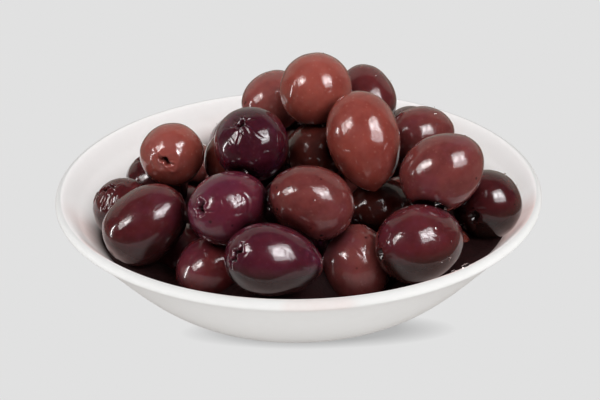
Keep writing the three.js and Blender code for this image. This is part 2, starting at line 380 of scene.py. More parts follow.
def wire_pores(graph: Graph, given: bpy.types.Node, out: bpy.types.Node) -> None:
    """Fine uneven skin: shallow pores over a slightly wavy surface.

    Args:
        graph: The group's graph.
        given: Its input node.
        out: Its output node.
    """
    waves = graph.add("ShaderNodeTexNoise", {
        "Vector": given.outputs["Vector"], "Scale": given.outputs["Scale"], "Detail": 4.0,
        "Roughness": 0.5,
    })
    finer = graph.math("MULTIPLY", given.outputs["Scale"], PORE_SCALE)
    cells = graph.add("ShaderNodeTexVoronoi", {
        "Vector": given.outputs["Vector"], "Scale": finer, "Randomness": 0.9,
    }, feature="SMOOTH_F1")
    pores = graph.math("MULTIPLY", graph.span(cells.outputs["Distance"], (0.0, PORE_EDGE), UNIT),
                       given.outputs["Pores"])
    graph.put(graph.math("ADD", waves.outputs["Fac"], pores), out.inputs["Height"])


MOTTLE = SharedEffect(
    "mottle", {"Vector": (VECTOR, None), "Scale": (NUMBER, 150.0)}, {"Factor": NUMBER}, wire_mottle)
FRECKLES = SharedEffect(
    "freckles",
    {"Vector": (VECTOR, None), "Scale": (NUMBER, 400.0), "Share": (NUMBER, 0.1), "Size": (NUMBER, 0.2)},
    {"Mask": NUMBER}, wire_freckles)
PORES = SharedEffect(
    "pores", {"Vector": (VECTOR, None), "Scale": (NUMBER, 900.0), "Pores": (NUMBER, 0.2)},
    {"Height": NUMBER}, wire_pores)


def clouds(graph: Graph, place: bpy.types.NodeSocket, scale: float) -> bpy.types.NodeSocket:
    """Soft cloudy patches, from 0 to 1."""
    return MOTTLE.place(graph, Vector=place, Scale=scale).outputs["Factor"]


def spots(graph: Graph, place: bpy.types.NodeSocket, scale: float, share: float,
          size: float) -> bpy.types.NodeSocket:
    """Scattered round spots, from 0 to 1."""
    return FRECKLES.place(graph, Vector=place, Scale=scale, Share=share, Size=size).outputs["Mask"]


@dataclass(frozen=True)
class FineRelief:
    """The small unevenness of a surface: its scale, its pores, and how strong and deep it is."""

    scale: float
    pores: float
    strength: float
    depth: float

    def normal(self, graph: Graph, place: bpy.types.NodeSocket) -> bpy.types.NodeSocket:
        """The surface's normal with the relief on it.

        Args:
            graph: The material's graph.
            place: A point's place on the object.

        Returns:
            The normal.
        """
        height = PORES.place(graph, Vector=place, Scale=self.scale, Pores=self.pores).outputs["Height"]
        return graph.add("ShaderNodeBump", {
            "Height": height, "Strength": self.strength, "Distance": self.depth}).outputs["Normal"]


# ---------------------------------------------------------------- finishes


@dataclass(frozen=True)
class GlazeFinish:
    """White glaze, glossy and a little uneven; rosy brine film and painted bounce by the olives, painted
    shade under them, lighter-painted inside.
    """

    name: str = "white_glaze"
    white: Colour = (0.745, 0.74, 0.73)
    shade: Colour = (0.72, 0.715, 0.705)
    # Painted light: the inside of the bowl is painted whiter than the lip and outside.
    bowl: Colour = (0.94, 0.925, 0.918)
    # Brine film, which near the olives also carries painted rosy bounce light and painted shade.
    brine: Colour = (0.66, 0.40, 0.36)
    # Painted shade: near black, where the olives hide the glaze.
    painted_shade: Colour = (0.008, 0.003, 0.002)
    cloud_scale: float = 38.0
    patch_scale: float = 75.0
    patch_span: tuple[float, float] = (0.55, 1.0)
    film_share: float = 0.85
    roughness: tuple[float, float] = (0.32, 0.38)
    specular: float = 0.12
    coat: float = 0.25
    coat_roughness: float = 0.08
    relief: FineRelief = FineRelief(170.0, 0.05, 0.2, 0.0003)

    def make(self) -> bpy.types.Material:
        """Wires the finish.

        Returns:
            The finished material.
        """
        material, graph, shader, place = new_material(self.name)
        cloud = clouds(graph, place, self.cloud_scale)
        # Painted shade where the olives hide the glaze; it also cuts the coat.
        near = graph.paint("sunk_shade")
        patches = graph.span(clouds(graph, place, self.patch_scale), UNIT, self.patch_span)
        brine = graph.math("MULTIPLY", graph.paint("brine"), self.film_share)
        film = graph.math("MULTIPLY", brine, patches)
        colour = graph.blend(cloud, rgba(self.white), rgba(self.shade))
        # Blends the lighter-painted inside, the brine film with painted bounce, and painted shade.
        for share, over in ((graph.paint("bowl"), self.bowl), (film, self.brine), (near, self.painted_shade)):
            colour = graph.blend(share, colour, rgba(over))
        graph.fill(shader, {
            "Base Color": colour,
            "Roughness": graph.span(cloud, UNIT, self.roughness),
            "Specular IOR Level": self.specular,
            "Coat Weight": graph.math("MULTIPLY", graph.math("SUBTRACT", 1.0, near), self.coat),
            "Coat Roughness": self.coat_roughness,
            "Normal": self.relief.normal(graph, place),
        })
        return material


@dataclass(frozen=True)
class OliveSkin:
    """Wet olive skin: mottled, freckled, with painted shade and dirt in its creases, painted shade below
    and between olives, under a film of brine.
    """

    name: str
    pale: Colour
    deep: Colour
    flush: Colour
    freckle: Colour
    freckle_share: float = 0.08
    freckle_scale: float = 330.0
    freckle_size: float = 0.15
    freckle_depth: float = 0.85
    fleck: Colour = (0.40, 0.20, 0.16)
    fleck_share: float = 0.03
    fleck_spread: tuple[float, float, float] = (900.0, 0.4, 0.3)
    cloud_scale: float = 85.0
    mottling: float = 0.5
    flush_scale: float = 47.0
    flush_from: float = 0.5
    flush_share: float = 0.6
    # Painted shade on the undersides low in the heap.
    under: Colour = (0.012, 0.007, 0.005)
    under_share: float = 0.85
    # Painted shade and dirt in the creases and the stem hollow.
    crease: Colour = (0.012, 0.004, 0.004)
    # Painted shade between the neighbours, near black.
    sunk_shade: Colour = (0.004, 0.001, 0.001)
    film_scale: float = 190.0
    roughness: tuple[float, float] = (0.12, 0.24)
    wetness: tuple[float, float] = (0.7, 1.0)
    dull_from: float = 0.4
    coat_roughness: float = 0.04
    coat_ior: float = 1.4
    specular: float = 0.25
    flesh_share: float = 0.25
    flesh_radius: Colour = (1.0, 0.2, 0.14)
    flesh_depth: float = 0.0018
    relief: FineRelief = FineRelief(520.0, 0.16, 0.3, 0.0002)

    def make(self) -> bpy.types.Material:
        """Wires the finish.

        Returns:
            The finished material.
        """
        material, graph, shader, place = new_material(self.name)
        swing = graph.math("SUBTRACT", clouds(graph, place, self.cloud_scale), 0.5)
        ripe = graph.math("ADD", graph.paint("ripeness"), graph.math("MULTIPLY", swing, self.mottling))
        share = graph.add("ShaderNodeClamp", {"Value": ripe}).outputs[0]
        body = graph.blend(share, rgba(self.pale), rgba(self.deep))
        blush = clouds(graph, place, self.flush_scale)
        flecks = spots(graph, place, *self.fleck_spread)
        dots = spots(graph, place, self.freckle_scale, self.freckle_share, self.freckle_size)
        # Painted shade between the neighbours.
        near = graph.paint("sunk_shade")
        for share, colour in (
                (graph.span(blush, (self.flush_from, 1.0), (0.0, self.flush_share)), self.flush),
                (graph.math("MULTIPLY", flecks, self.fleck_share), self.fleck),
                (graph.math("MULTIPLY", dots, self.freckle_depth), self.freckle),
                (graph.math("MULTIPLY", graph.paint("under"), self.under_share), self.under),
                (graph.paint("crease"), self.crease),
                (near, self.sunk_shade)):
            body = graph.blend(share, body, rgba(colour))
        film = clouds(graph, place, self.film_scale)
        # The coat is cut where the painted shade is deep, so no sheen shows there.
        deep = graph.span(near, (self.dull_from, 1.0), UNIT)
        wet = graph.math("MULTIPLY", graph.span(film, (1.0, 0.0), self.wetness),
                         graph.math("SUBTRACT", 1.0, deep))
        graph.fill(shader, {
            "Base Color": body,
            "Roughness": graph.span(film, UNIT, self.roughness),
            "Coat Weight": wet,
            "Coat Roughness": self.coat_roughness,
            "Coat IOR": self.coat_ior,
            "Specular IOR Level": self.specular,
            "Subsurface Weight": self.flesh_share,
            "Subsurface Radius": self.flesh_radius,
            "Subsurface Scale": self.flesh_depth,
            "Normal": self.relief.normal(graph, place),
        })
        return material


@dataclass(frozen=True)
class CoreFinish:
    """The dark depth of the heap, wet with brine: painted shade in the place of the hidden olives."""

    name: str = "heap_shade"
    colour: Colour = (0.006, 0.002, 0.002)
    lighter: Colour = (0.016, 0.004, 0.004)
    cloud_scale: float = 90.0
    roughness: tuple[float, float] = (0.6, 0.85)
    specular: float = 0.05
    relief: FineRelief = FineRelief(300.0, 0.3, 0.5, 0.0005)

    def make(self) -> bpy.types.Material:
        """Wires the finish.

        Returns:
            The finished material.
        """
        material, graph, shader, place = new_material(self.name)
        cloud = clouds(graph, place, self.cloud_scale)
        graph.fill(shader, {
            "Base Color": graph.blend(cloud, rgba(self.colour), rgba(self.lighter)),
            "Roughness": graph.span(cloud, UNIT, self.roughness),
            "Specular IOR Level": self.specular,
            "Normal": self.relief.normal(graph, place),
        })
        return material


@dataclass(frozen=True)
class BrineFinish:
    """Clear brine with a trace of the olives' red."""

    name: str = "clear_brine"
    tints: tuple[Colour, Colour] = ((1.0, 0.95, 0.94), (0.98, 0.88, 0.86))
    cloud_scale: float = 140.0
    roughness: tuple[float, float] = (0.02, 0.06)
    ior: float = 1.34

    def make(self) -> bpy.types.Material:
        """Wires the finish.

        Returns:
            The finished material.
        """
        material, graph, shader, place = new_material(self.name)
        cloud = clouds(graph, place, self.cloud_scale)
        graph.fill(shader, {
            "Base Color": graph.blend(cloud, rgba(self.tints[0]), rgba(self.tints[1])),
            "Roughness": graph.span(cloud, UNIT, self.roughness),
            "Transmission Weight": 1.0,
            "IOR": self.ior,
        })
        return material


class Tone(Enum):
    """The kinds of olive in the heap, by the colour of their skin."""

    BRICK = OliveSkin(
        "olives_brick", (0.330, 0.075, 0.055), (0.170, 0.026, 0.020), (0.300, 0.085, 0.075),
        (0.05, 0.015, 0.012), 0.03, fleck_share=0.2)
    ROSY = OliveSkin(
        "olives_rosy", (0.270, 0.070, 0.060), (0.110, 0.020, 0.020), (0.180, 0.040, 0.055),
        (0.03, 0.008, 0.009), 0.16, fleck_share=0.08)
    WINE = OliveSkin(
        "olives_wine", (0.140, 0.022, 0.024), (0.050, 0.006, 0.008), (0.110, 0.018, 0.036),
        (0.02, 0.005, 0.006), 0.10)
    PLUM = OliveSkin(
        "olives_plum", (0.130, 0.018, 0.034), (0.040, 0.004, 0.010), (0.120, 0.022, 0.055),
        (0.02, 0.004, 0.006), 0.07)
    RUSSET = OliveSkin(
        "olives_russet", (0.170, 0.032, 0.024), (0.050, 0.008, 0.006), (0.150, 0.030, 0.022),
        (0.02, 0.006, 0.005), 0.06)


# ---------------------------------------------------------------- dish


@dataclass
class DishForm:
    """The turned dish: a flat underside, a wall that straightens upwards and a round bead."""

    rim_radius: float = 70.0
    height: float = 31.0
    foot_radius: float = 30.0
    lip_radius: float = 1.65
    base_thickness: float = 3.4
    wall_thickness: float = 2.4
    foot_spread: float = 16.0
    wall_top_radius: float = 68.8
    wall_top_drop: float = 3.3
    wall_slope: float = math.radians(42.0)
    wall_ease: float = 17.5
    rule_steps: int = 9

    def outer_wall(self, share: np.ndarray) -> tuple[np.ndarray, np.ndarray]:
        """The outer wall from the foot, at 0, to the bead, at 1.

        Args:
            share: Where along the wall, one value for each point.

        Returns:
            Points as radius and height, and the ways into the wall there.
        """
        top = np.array([self.wall_top_radius, self.height - self.wall_top_drop])
        slope = np.array([math.cos(self.wall_slope), math.sin(self.wall_slope)])
        poles = np.array([[self.foot_radius, 0.0], [self.foot_radius + self.foot_spread, 0.0],
                          top - slope * self.wall_ease, top])
        t = share[:, None]
        along = ((1 - t) ** 2 * (poles[1] - poles[0]) + 2 * (1 - t) * t * (poles[2] - poles[1])
                 + t ** 2 * (poles[3] - poles[2]))
        along /= np.linalg.norm(along, axis=1, keepdims=True)
        return cubic(t, poles), np.stack([-along[:, 1], along[:, 0]], -1)

    def inner_wall(self, share: np.ndarray) -> np.ndarray:
        """Points of the inner wall that face the outer wall's points.

        Args:
            share: Where along the wall, one value for each point.

        Returns:
            Points as radius and height.
        """
        point, inward = self.outer_wall(share)
        thickness = self.base_thickness + (self.wall_thickness - self.base_thickness) * share
        return point + inward * thickness[:, None]

    def lip(self, steps: int) -> np.ndarray:
        """Points of the bead, from its outer foot over the top to its inner foot.

        Args:
            steps: How many steps the bead takes.

        Returns:
            Points as radius and height.
        """
        centre = np.array([self.rim_radius - self.lip_radius, self.height - self.lip_radius])
        turn = np.linspace(self.wall_slope - math.pi / 2, self.wall_slope + math.pi / 2, steps + 1)
        return centre + self.lip_radius * np.stack([np.cos(turn), np.sin(turn)], -1)

    def inside(self) -> np.ndarray:
        """The inside that the olives are laid against, from the middle out to the bead."""
        share = np.arange(self.rule_steps) / self.rule_steps
        return np.concatenate([[[0.0, self.base_thickness]], self.inner_wall(share), self.lip(1)[1:]])

    def inside_height(self, radius: np.ndarray) -> np.ndarray:
        """Height of the inside at distances from the axis."""
        line = self.inside()
        return np.interp(radius, line[:, 0], line[:, 1])

    def ball_clearance(self, centres: np.ndarray, radii: np.ndarray) -> tuple[np.ndarray, np.ndarray]:
        """How far balls are clear of the inside, and the way off the nearest wall.

        Args:
            centres: Centres of the balls.
            radii: Their radii.

        Returns:
            The clearances, negative where a ball crosses, and the ways as radius and height.
        """
        line = self.inside()
        runs = line[1:] - line[:-1]
        normals = np.stack([-runs[:, 1], runs[:, 0]], -1)
        normals /= np.linalg.norm(normals, axis=1, keepdims=True)
        spots = np.stack([np.hypot(centres[..., 0], centres[..., 1]), centres[..., 2]], -1)
        start = spots[..., None, :] - line[:-1]
        share = np.clip((start * runs).sum(-1) / (runs ** 2).sum(-1), 0.0, 1.0)
        off = start - share[..., None] * runs
        length = np.linalg.norm(off, axis=-1)
        side = np.where((off * normals).sum(-1) >= 0, 1.0, -1.0)
        nearest = length.argmin(-1)[..., None]
        clear = np.take_along_axis(side * length, nearest, -1)[..., 0]
        return clear - radii, normals[nearest[..., 0]]


@dataclass
class Dish:
    """The dish itself, turned finely and glazed."""

    form: DishForm
    finish: GlazeFinish
    sides: int = 288
    wall_steps: int = 44
    lip_steps: int = 14
    flat_steps: int = 8
    lip_trim: float = 0.998
    edge_share: float = 0.93
    edge_step: int = 12
    edge_steps: int = 7
    edge_reach: float = 0.9
    inside_margin: float = 0.6
    lean: tuple[float, float] = (0.6, 0.8)
    far: float = 99.0
    # Painted shade under and between the olives.
    cover_depth: float = 6.0
    cover_gap: tuple[float, float] = (14.0, 5.0)
    painted_shade_span: tuple[float, float] = (0.50, 0.75)
    painted_shade_height: tuple[float, float] = (25.5, 20.0)
    # Reach of the brine film and painted rosy bounce, and the share of painted rosy shade.
    film_fade: float = 6.2
    shade_share: float = 0.14
    smear_turn: float = -86.0
    smear_reach: tuple[float, float] = (9.0, 2.2)
    smear_edge: float = 1.4
    smear_share: float = 0.3
    name: str = "dish_glazed"

    def profile(self) -> np.ndarray:
        """Radius and height from the middle of the underside to the middle of the inside.

        Returns:
            The points, in order.
        """
        share = np.arange(self.wall_steps) / self.wall_steps
        outer, _ = self.form.outer_wall(share)
        inner = self.form.inner_wall(share[share < self.edge_share])[::-1]
        lip = self.form.lip(self.lip_steps)[:self.edge_step]
        centre = np.array([self.form.rim_radius, self.form.height]) - self.form.lip_radius
        lip = np.concatenate([centre + (lip - centre) * self.lip_trim, self.inner_edge(lip, inner)])
        foot = np.linspace(0.0, self.form.foot_radius, self.flat_steps + 1)[1:-1]
        under = np.stack([foot, np.zeros_like(foot)], -1)
        floor = np.linspace(self.form.foot_radius, 0.0, self.flat_steps + 1)[1:-1]
        over = np.stack([floor, np.full_like(floor, self.form.base_thickness)], -1)
        return np.concatenate([under, outer, lip, inner, over])

    def inner_edge(self, lip: np.ndarray, inner: np.ndarray) -> np.ndarray:
        """The soft turn from the bead into the bowl.

        Args:
            lip: The bead's points before it.
            inner: The inner wall's points after it.

        Returns:
            The points between, as radius and height.
        """
        leaving = lip[-1] - lip[-2]
        arriving = inner[1] - inner[0]
        reach = self.edge_reach
        poles = (lip[-1], lip[-1] + reach * leaving / np.linalg.norm(leaving),
                 inner[0] - reach * arriving / np.linalg.norm(arriving), inner[0])
        return cubic((np.arange(1, self.edge_steps) / self.edge_steps)[:, None], poles)

    def inside(self, points: np.ndarray) -> np.ndarray:
        """Which points are on the inside of the bowl.

        Args:
            points: The dish's points.

        Returns:
            Whether each point is there.
        """
        radius = np.hypot(points[:, 0], points[:, 1])
        reach = self.form.rim_radius - self.form.lip_radius
        return (points[:, 2] > self.form.inside_height(radius) - self.inside_margin) & (radius < reach)

    def brine_and_shade(self, points: np.ndarray, olives: Sequence[Olive]) -> dict[str, np.ndarray]:
        """What the olives do to the glaze: brine with painted bounce light and painted shade.

        Args:
            points: The dish's points.
            olives: The olives that lie in it.

        Returns:
            Paint for the brine film and painted rosy bounce round them, the painted shade under them,
            and the lighter-painted inside.
        """
        radius = np.hypot(points[:, 0], points[:, 1])[:, None]
        inwards = points * (-1.0, -1.0, 0.0) / np.maximum(radius, 1.0)
        outward = self.lean[0] * inwards + (0.0, 0.0, self.lean[1])
        clear = np.ones(len(points))
        gap = np.full(len(points), self.far)
        for olive in olives:
            clear *= 1 - olive.shade_from(points, outward)
            gap = np.minimum(gap, olive.gap_to(points))
        low, high = self.painted_shade_span
        top, bottom = self.painted_shade_height
        inside = self.inside(points)
        # Painted shade: near black where the olives hide the inside, deep under them and close to their
        # skins.
        deep = np.clip((top - points[:, 2]) / (top - bottom), 0.0, 1.0)
        near = np.clip((self.cover_gap[0] - gap) / self.cover_gap[1], 0.0, 1.0)
        covered = np.clip((bottom - points[:, 2]) / self.cover_depth, 0.0, 1.0) * near
        shaded = np.clip((1 - clear - low) / (high - low), 0.0, 1.0)
        # Brine film round the olives, which also stands for their painted rosy bounce; rosy adds painted
        # shade from them.
        film = inside * np.exp(-(np.maximum(gap, 0.0) / self.film_fade) ** 2)
        rosy = np.maximum(film, inside * self.shade_share * (1 - clear))
        return {
            "brine": np.maximum(rosy, self.smear_share * self.smear(points)),
            "sunk_shade": inside * np.maximum(deep * shaded, covered),
            # Painted light: the inside is painted lighter than the lip and the outside.
            "bowl": inside.astype(float),
        }

    def smear(self, points: np.ndarray) -> np.ndarray:
        """The faint dried smear of brine on the front of the lip.

        Args:
            points: The dish's points.

        Returns:
            Values from 0 to 1.
        """
        turn = np.degrees(np.arctan2(points[:, 1], points[:, 0])) - self.smear_turn
        drop = points[:, 2] - self.form.height + self.form.lip_radius
        half, tall = self.smear_reach
        edge = (turn / half) ** 4 + (drop / tall) ** 4
        lip = points[:, 2] > self.form.height - 2 * self.form.lip_radius
        return lip * np.clip(self.smear_edge * (1 - edge), 0.0, 1.0)

    def shell(self) -> Shell:
        """The closed surface of the dish.

        Returns:
            The surface, without paint.
        """
        line = self.profile()
        turn = circle(self.sides)
        rings = np.stack([
            line[:, :1] * np.cos(turn), line[:, :1] * np.sin(turn),
            np.repeat(line[:, 1:], self.sides, 1),
        ], -1)
        middle = np.array([0.0, 0.0, self.form.base_thickness])
        points, triangles = closed_tube(rings, np.zeros(3), middle)
        return Shell(points, triangles)

    def build(self, olives: Sequence[Olive]) -> bpy.types.Object:
        """Makes the dish and lets it stand for its frame node.

        Args:
            olives: The olives that lie in it.

        Returns:
            The dish.
        """
        shell = self.shell()
        shell.paint.update(self.brine_and_shade(shell.points, olives))
        piece = make_piece(self.name, shell, self.finish.make())
        dress(piece, GLAZE_SLOT, "dish")
        return piece


# ---------------------------------------------------------------- olives

SHOULDER_SHARE = 0.4
SHOULDER_SPREAD = 2.6


def direction(heading: float, pitch: float) -> np.ndarray:
    """A direction from its heading and pitch in degrees."""
    turn, lift = math.radians(heading), math.radians(pitch)
    return np.array([math.cos(turn) * math.cos(lift), math.sin(turn) * math.cos(lift), math.sin(lift)])


def turn_between(turn: np.ndarray, heading: Union[float, np.ndarray]) -> np.ndarray:
    """The signed turn from a heading, between minus and plus half a turn."""
    return (turn - heading + math.pi) % (2 * math.pi) - math.pi


@dataclass(frozen=True)
class StemEnd:
    """The hollow that the stem leaves: its size in millimetres and the creases round it."""

    depth: float
    radius: float
    creases: int
    crease_depth: float
    crease_reach: float
    narrowing: float = 1.0
    swell: float = 0.08
    shoulder: float = 0.0
    shoulder_radius: float = 3.6


class Stem(Enum):
    """The kinds of stem end."""

    DIMPLE = StemEnd(0.9, 1.0, 5, 0.08, 3.2)
    ROUND = StemEnd(1.5, 1.3, 6, 0.16, 4.0, swell=0.16)
    SLIT = StemEnd(2.2, 1.8, 5, 0.16, 4.2, narrowing=0.38, swell=0.14, shoulder=0.28)
    STAR = StemEnd(1.8, 1.4, 9, 0.40, 4.8, narrowing=0.5, swell=0.18)
    TORN = StemEnd(2.0, 1.9, 3, 0.30, 4.2, narrowing=0.5, swell=0.30)
    CLEFT = StemEnd(1.8, 2.8, 2, 0.14, 4.2, narrowing=0.22, swell=0.22)
    SHRUNK = StemEnd(1.3, 1.3, 9, 0.34, 7.0, swell=0.10)


@dataclass(frozen=True)
class Fold:
    """A crease in the skin; its ends are a heading and a pitch seen from the olive's middle."""

    start: tuple[float, float]
    end: tuple[float, float]
    depth: float = 0.16
    width: float = 0.38
    bow: float = 0.0
    end_fade: tuple[float, float] = (0.5, 0.6)

    def relief(self, sphere: np.ndarray, radius: float) -> np.ndarray:
        """The push inwards that the crease gives.

        Args:
            sphere: Directions of the skin's points from the middle.
            radius: The olive's half width in millimetres.

        Returns:
            The push at each point, as a negative number in the crease.
        """
        first, last = direction(*self.start), direction(*self.end)
        side = unit(np.cross(first, last))
        ahead = np.cross(side, first)
        whole = math.acos(float(np.clip(first @ last, -1.0, 1.0)))
        run = np.arctan2(sphere @ ahead, sphere @ first) / whole
        arch = self.bow * np.sin(math.pi * np.clip(run, 0.0, 1.0))
        aside = np.arcsin(np.clip(sphere @ side, -1.0, 1.0)) * radius - arch
        past = np.maximum(-run, run - 1.0) * whole * radius
        before, fade = self.end_fade
        ends = np.exp(-(np.maximum(past + before, 0.0) / fade) ** 2)
        valley = np.exp(-(aside / self.width) ** 2)
        shoulders = SHOULDER_SHARE * np.exp(-(aside / (SHOULDER_SPREAD * self.width)) ** 2)
        return self.depth * ends * (shoulders - valley)


@dataclass
class Olive:
    """One olive where it lies: sizes in millimetres, and where its tip points in degrees."""

    name: str
    centre: Sequence[float]
    length: float
    width: float
    heading: float
    pitch: float
    tone: Tone = Tone.RUSSET
    ripeness: float = 0.5
    pointed: float = 0.6
    stem: Stem = Stem.ROUND
    stem_at: tuple[float, float] | None = None
    stem_twist: float | None = None
    folds: tuple[Fold, ...] = ()
    stray_folds: int = 3
    fine: bool = False
    seed: int = 0
    taper: float = 0.07
    fullness: float = 0.0
    # How much of the painted shade between neighbours and underneath this olive takes.
    painted_shade_share: float = 1.0
    half_length: float = field(init=False)
    half_width: float = field(init=False)
    tip: np.ndarray = field(init=False)
    stem_way: np.ndarray = field(init=False)

    def __post_init__(self) -> None:
        """Works out the half sizes and the directions."""
        self.centre = np.array(self.centre, float)
        self.half_length, self.half_width = self.length / 2, self.width / 2
        self.tip = direction(self.heading, self.pitch)
        self.stem_way = -self.tip if self.stem_at is None else direction(*self.stem_at)

    def balls(self, shares: np.ndarray) -> tuple[np.ndarray, np.ndarray]:
        """Centres and radii of the balls that stand for the olive when it is laid.

        Args:
            shares: Places along the olive, from -1 behind to 1 at the tip.

        Returns:
            The centres and the radii.
        """
        span = (self.half_length ** 2 - self.half_width ** 2) / self.half_length
        shift = span * shares
        shrink = 1 - shift ** 2 / (self.half_length ** 2 - self.half_width ** 2)
        radii = self.half_width * np.sqrt(np.maximum(0.0, shrink))
        return self.centre + shift[:, None] * self.tip, radii

    def reach(self, way: np.ndarray) -> float:
        """Distance from the middle to the skin along a direction."""
        along = float(way @ self.tip)
        return 1 / math.sqrt((along / self.half_length) ** 2 + (1 - along ** 2) / self.half_width ** 2)

    def gap_to(self, points: np.ndarray) -> np.ndarray:
        """How far points are from the skin, negative inside.

        Args:
            points: The points.

        Returns:
            Their distances in millimetres.
        """
        off = points - self.centre
        along = off @ self.tip
        across = np.linalg.norm(off - along[:, None] * self.tip, axis=1)
        scaled = np.hypot(along / self.half_length, across / self.half_width)
        return (scaled - 1) * np.linalg.norm(off, axis=1) / np.maximum(scaled, 1e-6)

    def shade_from(self, points: np.ndarray, outward: np.ndarray) -> np.ndarray:
        """How much of what points see is this olive, from 0 to 1.

        Args:
            points: The points.
            outward: The ways that they face.

        Returns:
            A share for each point.
        """
        radius = (self.half_length + 2 * self.half_width) / 3
        off = self.centre - points
        distance = np.maximum(np.linalg.norm(off, axis=1), radius)
        facing = (off * outward).sum(1) / distance
        return np.clip(facing, 0.0, 1.0) * (radius / distance) ** 2


@dataclass(frozen=True)
class StemRelief:
    """Carves the hollow at the stem, its swollen rim and the creases that run into it."""

    wobble: tuple[float, float] = (0.18, 2.1)
    phase: float = 6.0
    hollow_power: float = 2.4
    rim_at: float = 1.7
    rim_width: float = 0.6
    ring_share: float = 0.7
    ring_swing: float = 0.12
    shoulder_width: float = 0.8
    shoulder_turn: float = 2.4
    shoulder_swing: float = 0.4
    # How dark the hollow is painted: shade and dirt.
    hollow_dirt_and_shade: tuple[float, float] = (1.6, 0.3)
    crease_width: float = 0.28
    crease_scatter: float = 0.3
    crease_bend: float = 0.10
    crease_run: tuple[float, float] = (0.5, 0.7)
    crease_cut: tuple[float, float] = (0.4, 0.8)
    crease_side: float = 1.5
    crease_start: tuple[float, float] = (1.4, 0.4)
    # How dark the creases are painted: shade and dirt.
    crease_dirt_and_shade: float = 0.4

    def carve(self, flat: np.ndarray, stem_half: np.ndarray, olive: Olive,
              draws: np.random.Generator) -> tuple[np.ndarray, np.ndarray]:
        """The relief round an olive's stem.

        Args:
            flat: Each point's place beside the stem, rightwards and upwards.
            stem_half: Whether a point is in the stem's half.
            olive: The olive.
            draws: The olive's own draws.

        Returns:
            The push outwards, and how dark each point is with dirt and shade.
        """
        end = olive.stem.value
        twist = draws.random() * math.pi
        if olive.stem_twist is not None:
            twist = math.radians(olive.stem_twist)
        push, marks = self.hollow(flat, end, twist, draws)
        far = np.hypot(flat[:, 0], flat[:, 1])
        turn = np.arctan2(flat[:, 1], flat[:, 0])
        for number in range(end.creases):
            heading = twist + (number + self.crease_scatter * draws.normal()) * 2 * math.pi / end.creases
            bend = self.crease_bend * draws.normal()
            reach = end.crease_reach * drawn(self.crease_run, draws.random())
            depth = end.crease_depth * drawn(self.crease_cut, draws.random())
            apart = turn_between(turn, heading + bend * far)
            aside = far * np.sin(np.clip(apart, -self.crease_side, self.crease_side))
            ahead = np.abs(apart) < self.crease_side
            start = self.crease_start[0] * far / end.radius - self.crease_start[1]
            fade = np.clip(1 - far / reach, 0.0, 1.0) * np.clip(start, 0.0, 1.0)
            valley = np.exp(-(aside / self.crease_width) ** 2) * np.sqrt(fade) * ahead
            wide = np.exp(-(aside / (SHOULDER_SPREAD * self.crease_width)) ** 2)
            push -= depth * valley
            push += SHOULDER_SHARE * depth * wide * fade * ahead
            marks = np.maximum(marks, self.crease_dirt_and_shade * valley * fade)
        return np.where(stem_half, push, 0.0), np.where(stem_half, marks, 0.0)

    def hollow(self, flat: np.ndarray, end: StemEnd, twist: float,
               draws: np.random.Generator) -> tuple[np.ndarray, np.ndarray]:
        """The hollow itself, its rim and the shoulder round it.

        Args:
            flat: Each point's place beside the stem, rightwards and upwards.
            end: The kind of stem end.
            twist: The turn of the hollow's long way.
            draws: The olive's own draws.

        Returns:
            The push outwards, and how dark each point is.
        """
        long_way = np.array([math.cos(twist), math.sin(twist)])
        along = flat @ long_way
        across = flat @ np.array([-long_way[1], long_way[0]])
        share, pitch = self.wobble
        across = across + share * np.sin(pitch * along + self.phase * draws.random()) * end.radius
        far = np.hypot(flat[:, 0], flat[:, 1])
        turn = np.arctan2(flat[:, 1], flat[:, 0])
        oval = np.hypot(along, across / end.narrowing)
        hollow = np.exp(-(oval / end.radius) ** self.hollow_power)
        rim = np.exp(-((oval - self.rim_at * end.radius) / (self.rim_width * end.radius)) ** 2)
        swing = (np.sin(2 * turn + self.phase * draws.random())
                 + self.ring_share * np.sin(5 * turn + self.phase * draws.random()))
        ring = end.shoulder_radius * (1 + self.ring_swing * swing)
        facing = np.clip(0.5 + 0.5 * np.sin(turn + self.shoulder_turn), 0.0, 1.0)
        shoulder = np.exp(-((far - ring) / self.shoulder_width) ** 2) * facing
        push = (end.swell * rim + end.shoulder * shoulder * (1 + self.shoulder_swing * swing)
                - end.depth * hollow)
        dark, least = self.hollow_dirt_and_shade
        return push, np.clip(dark * hollow - least, 0.0, 1.0)


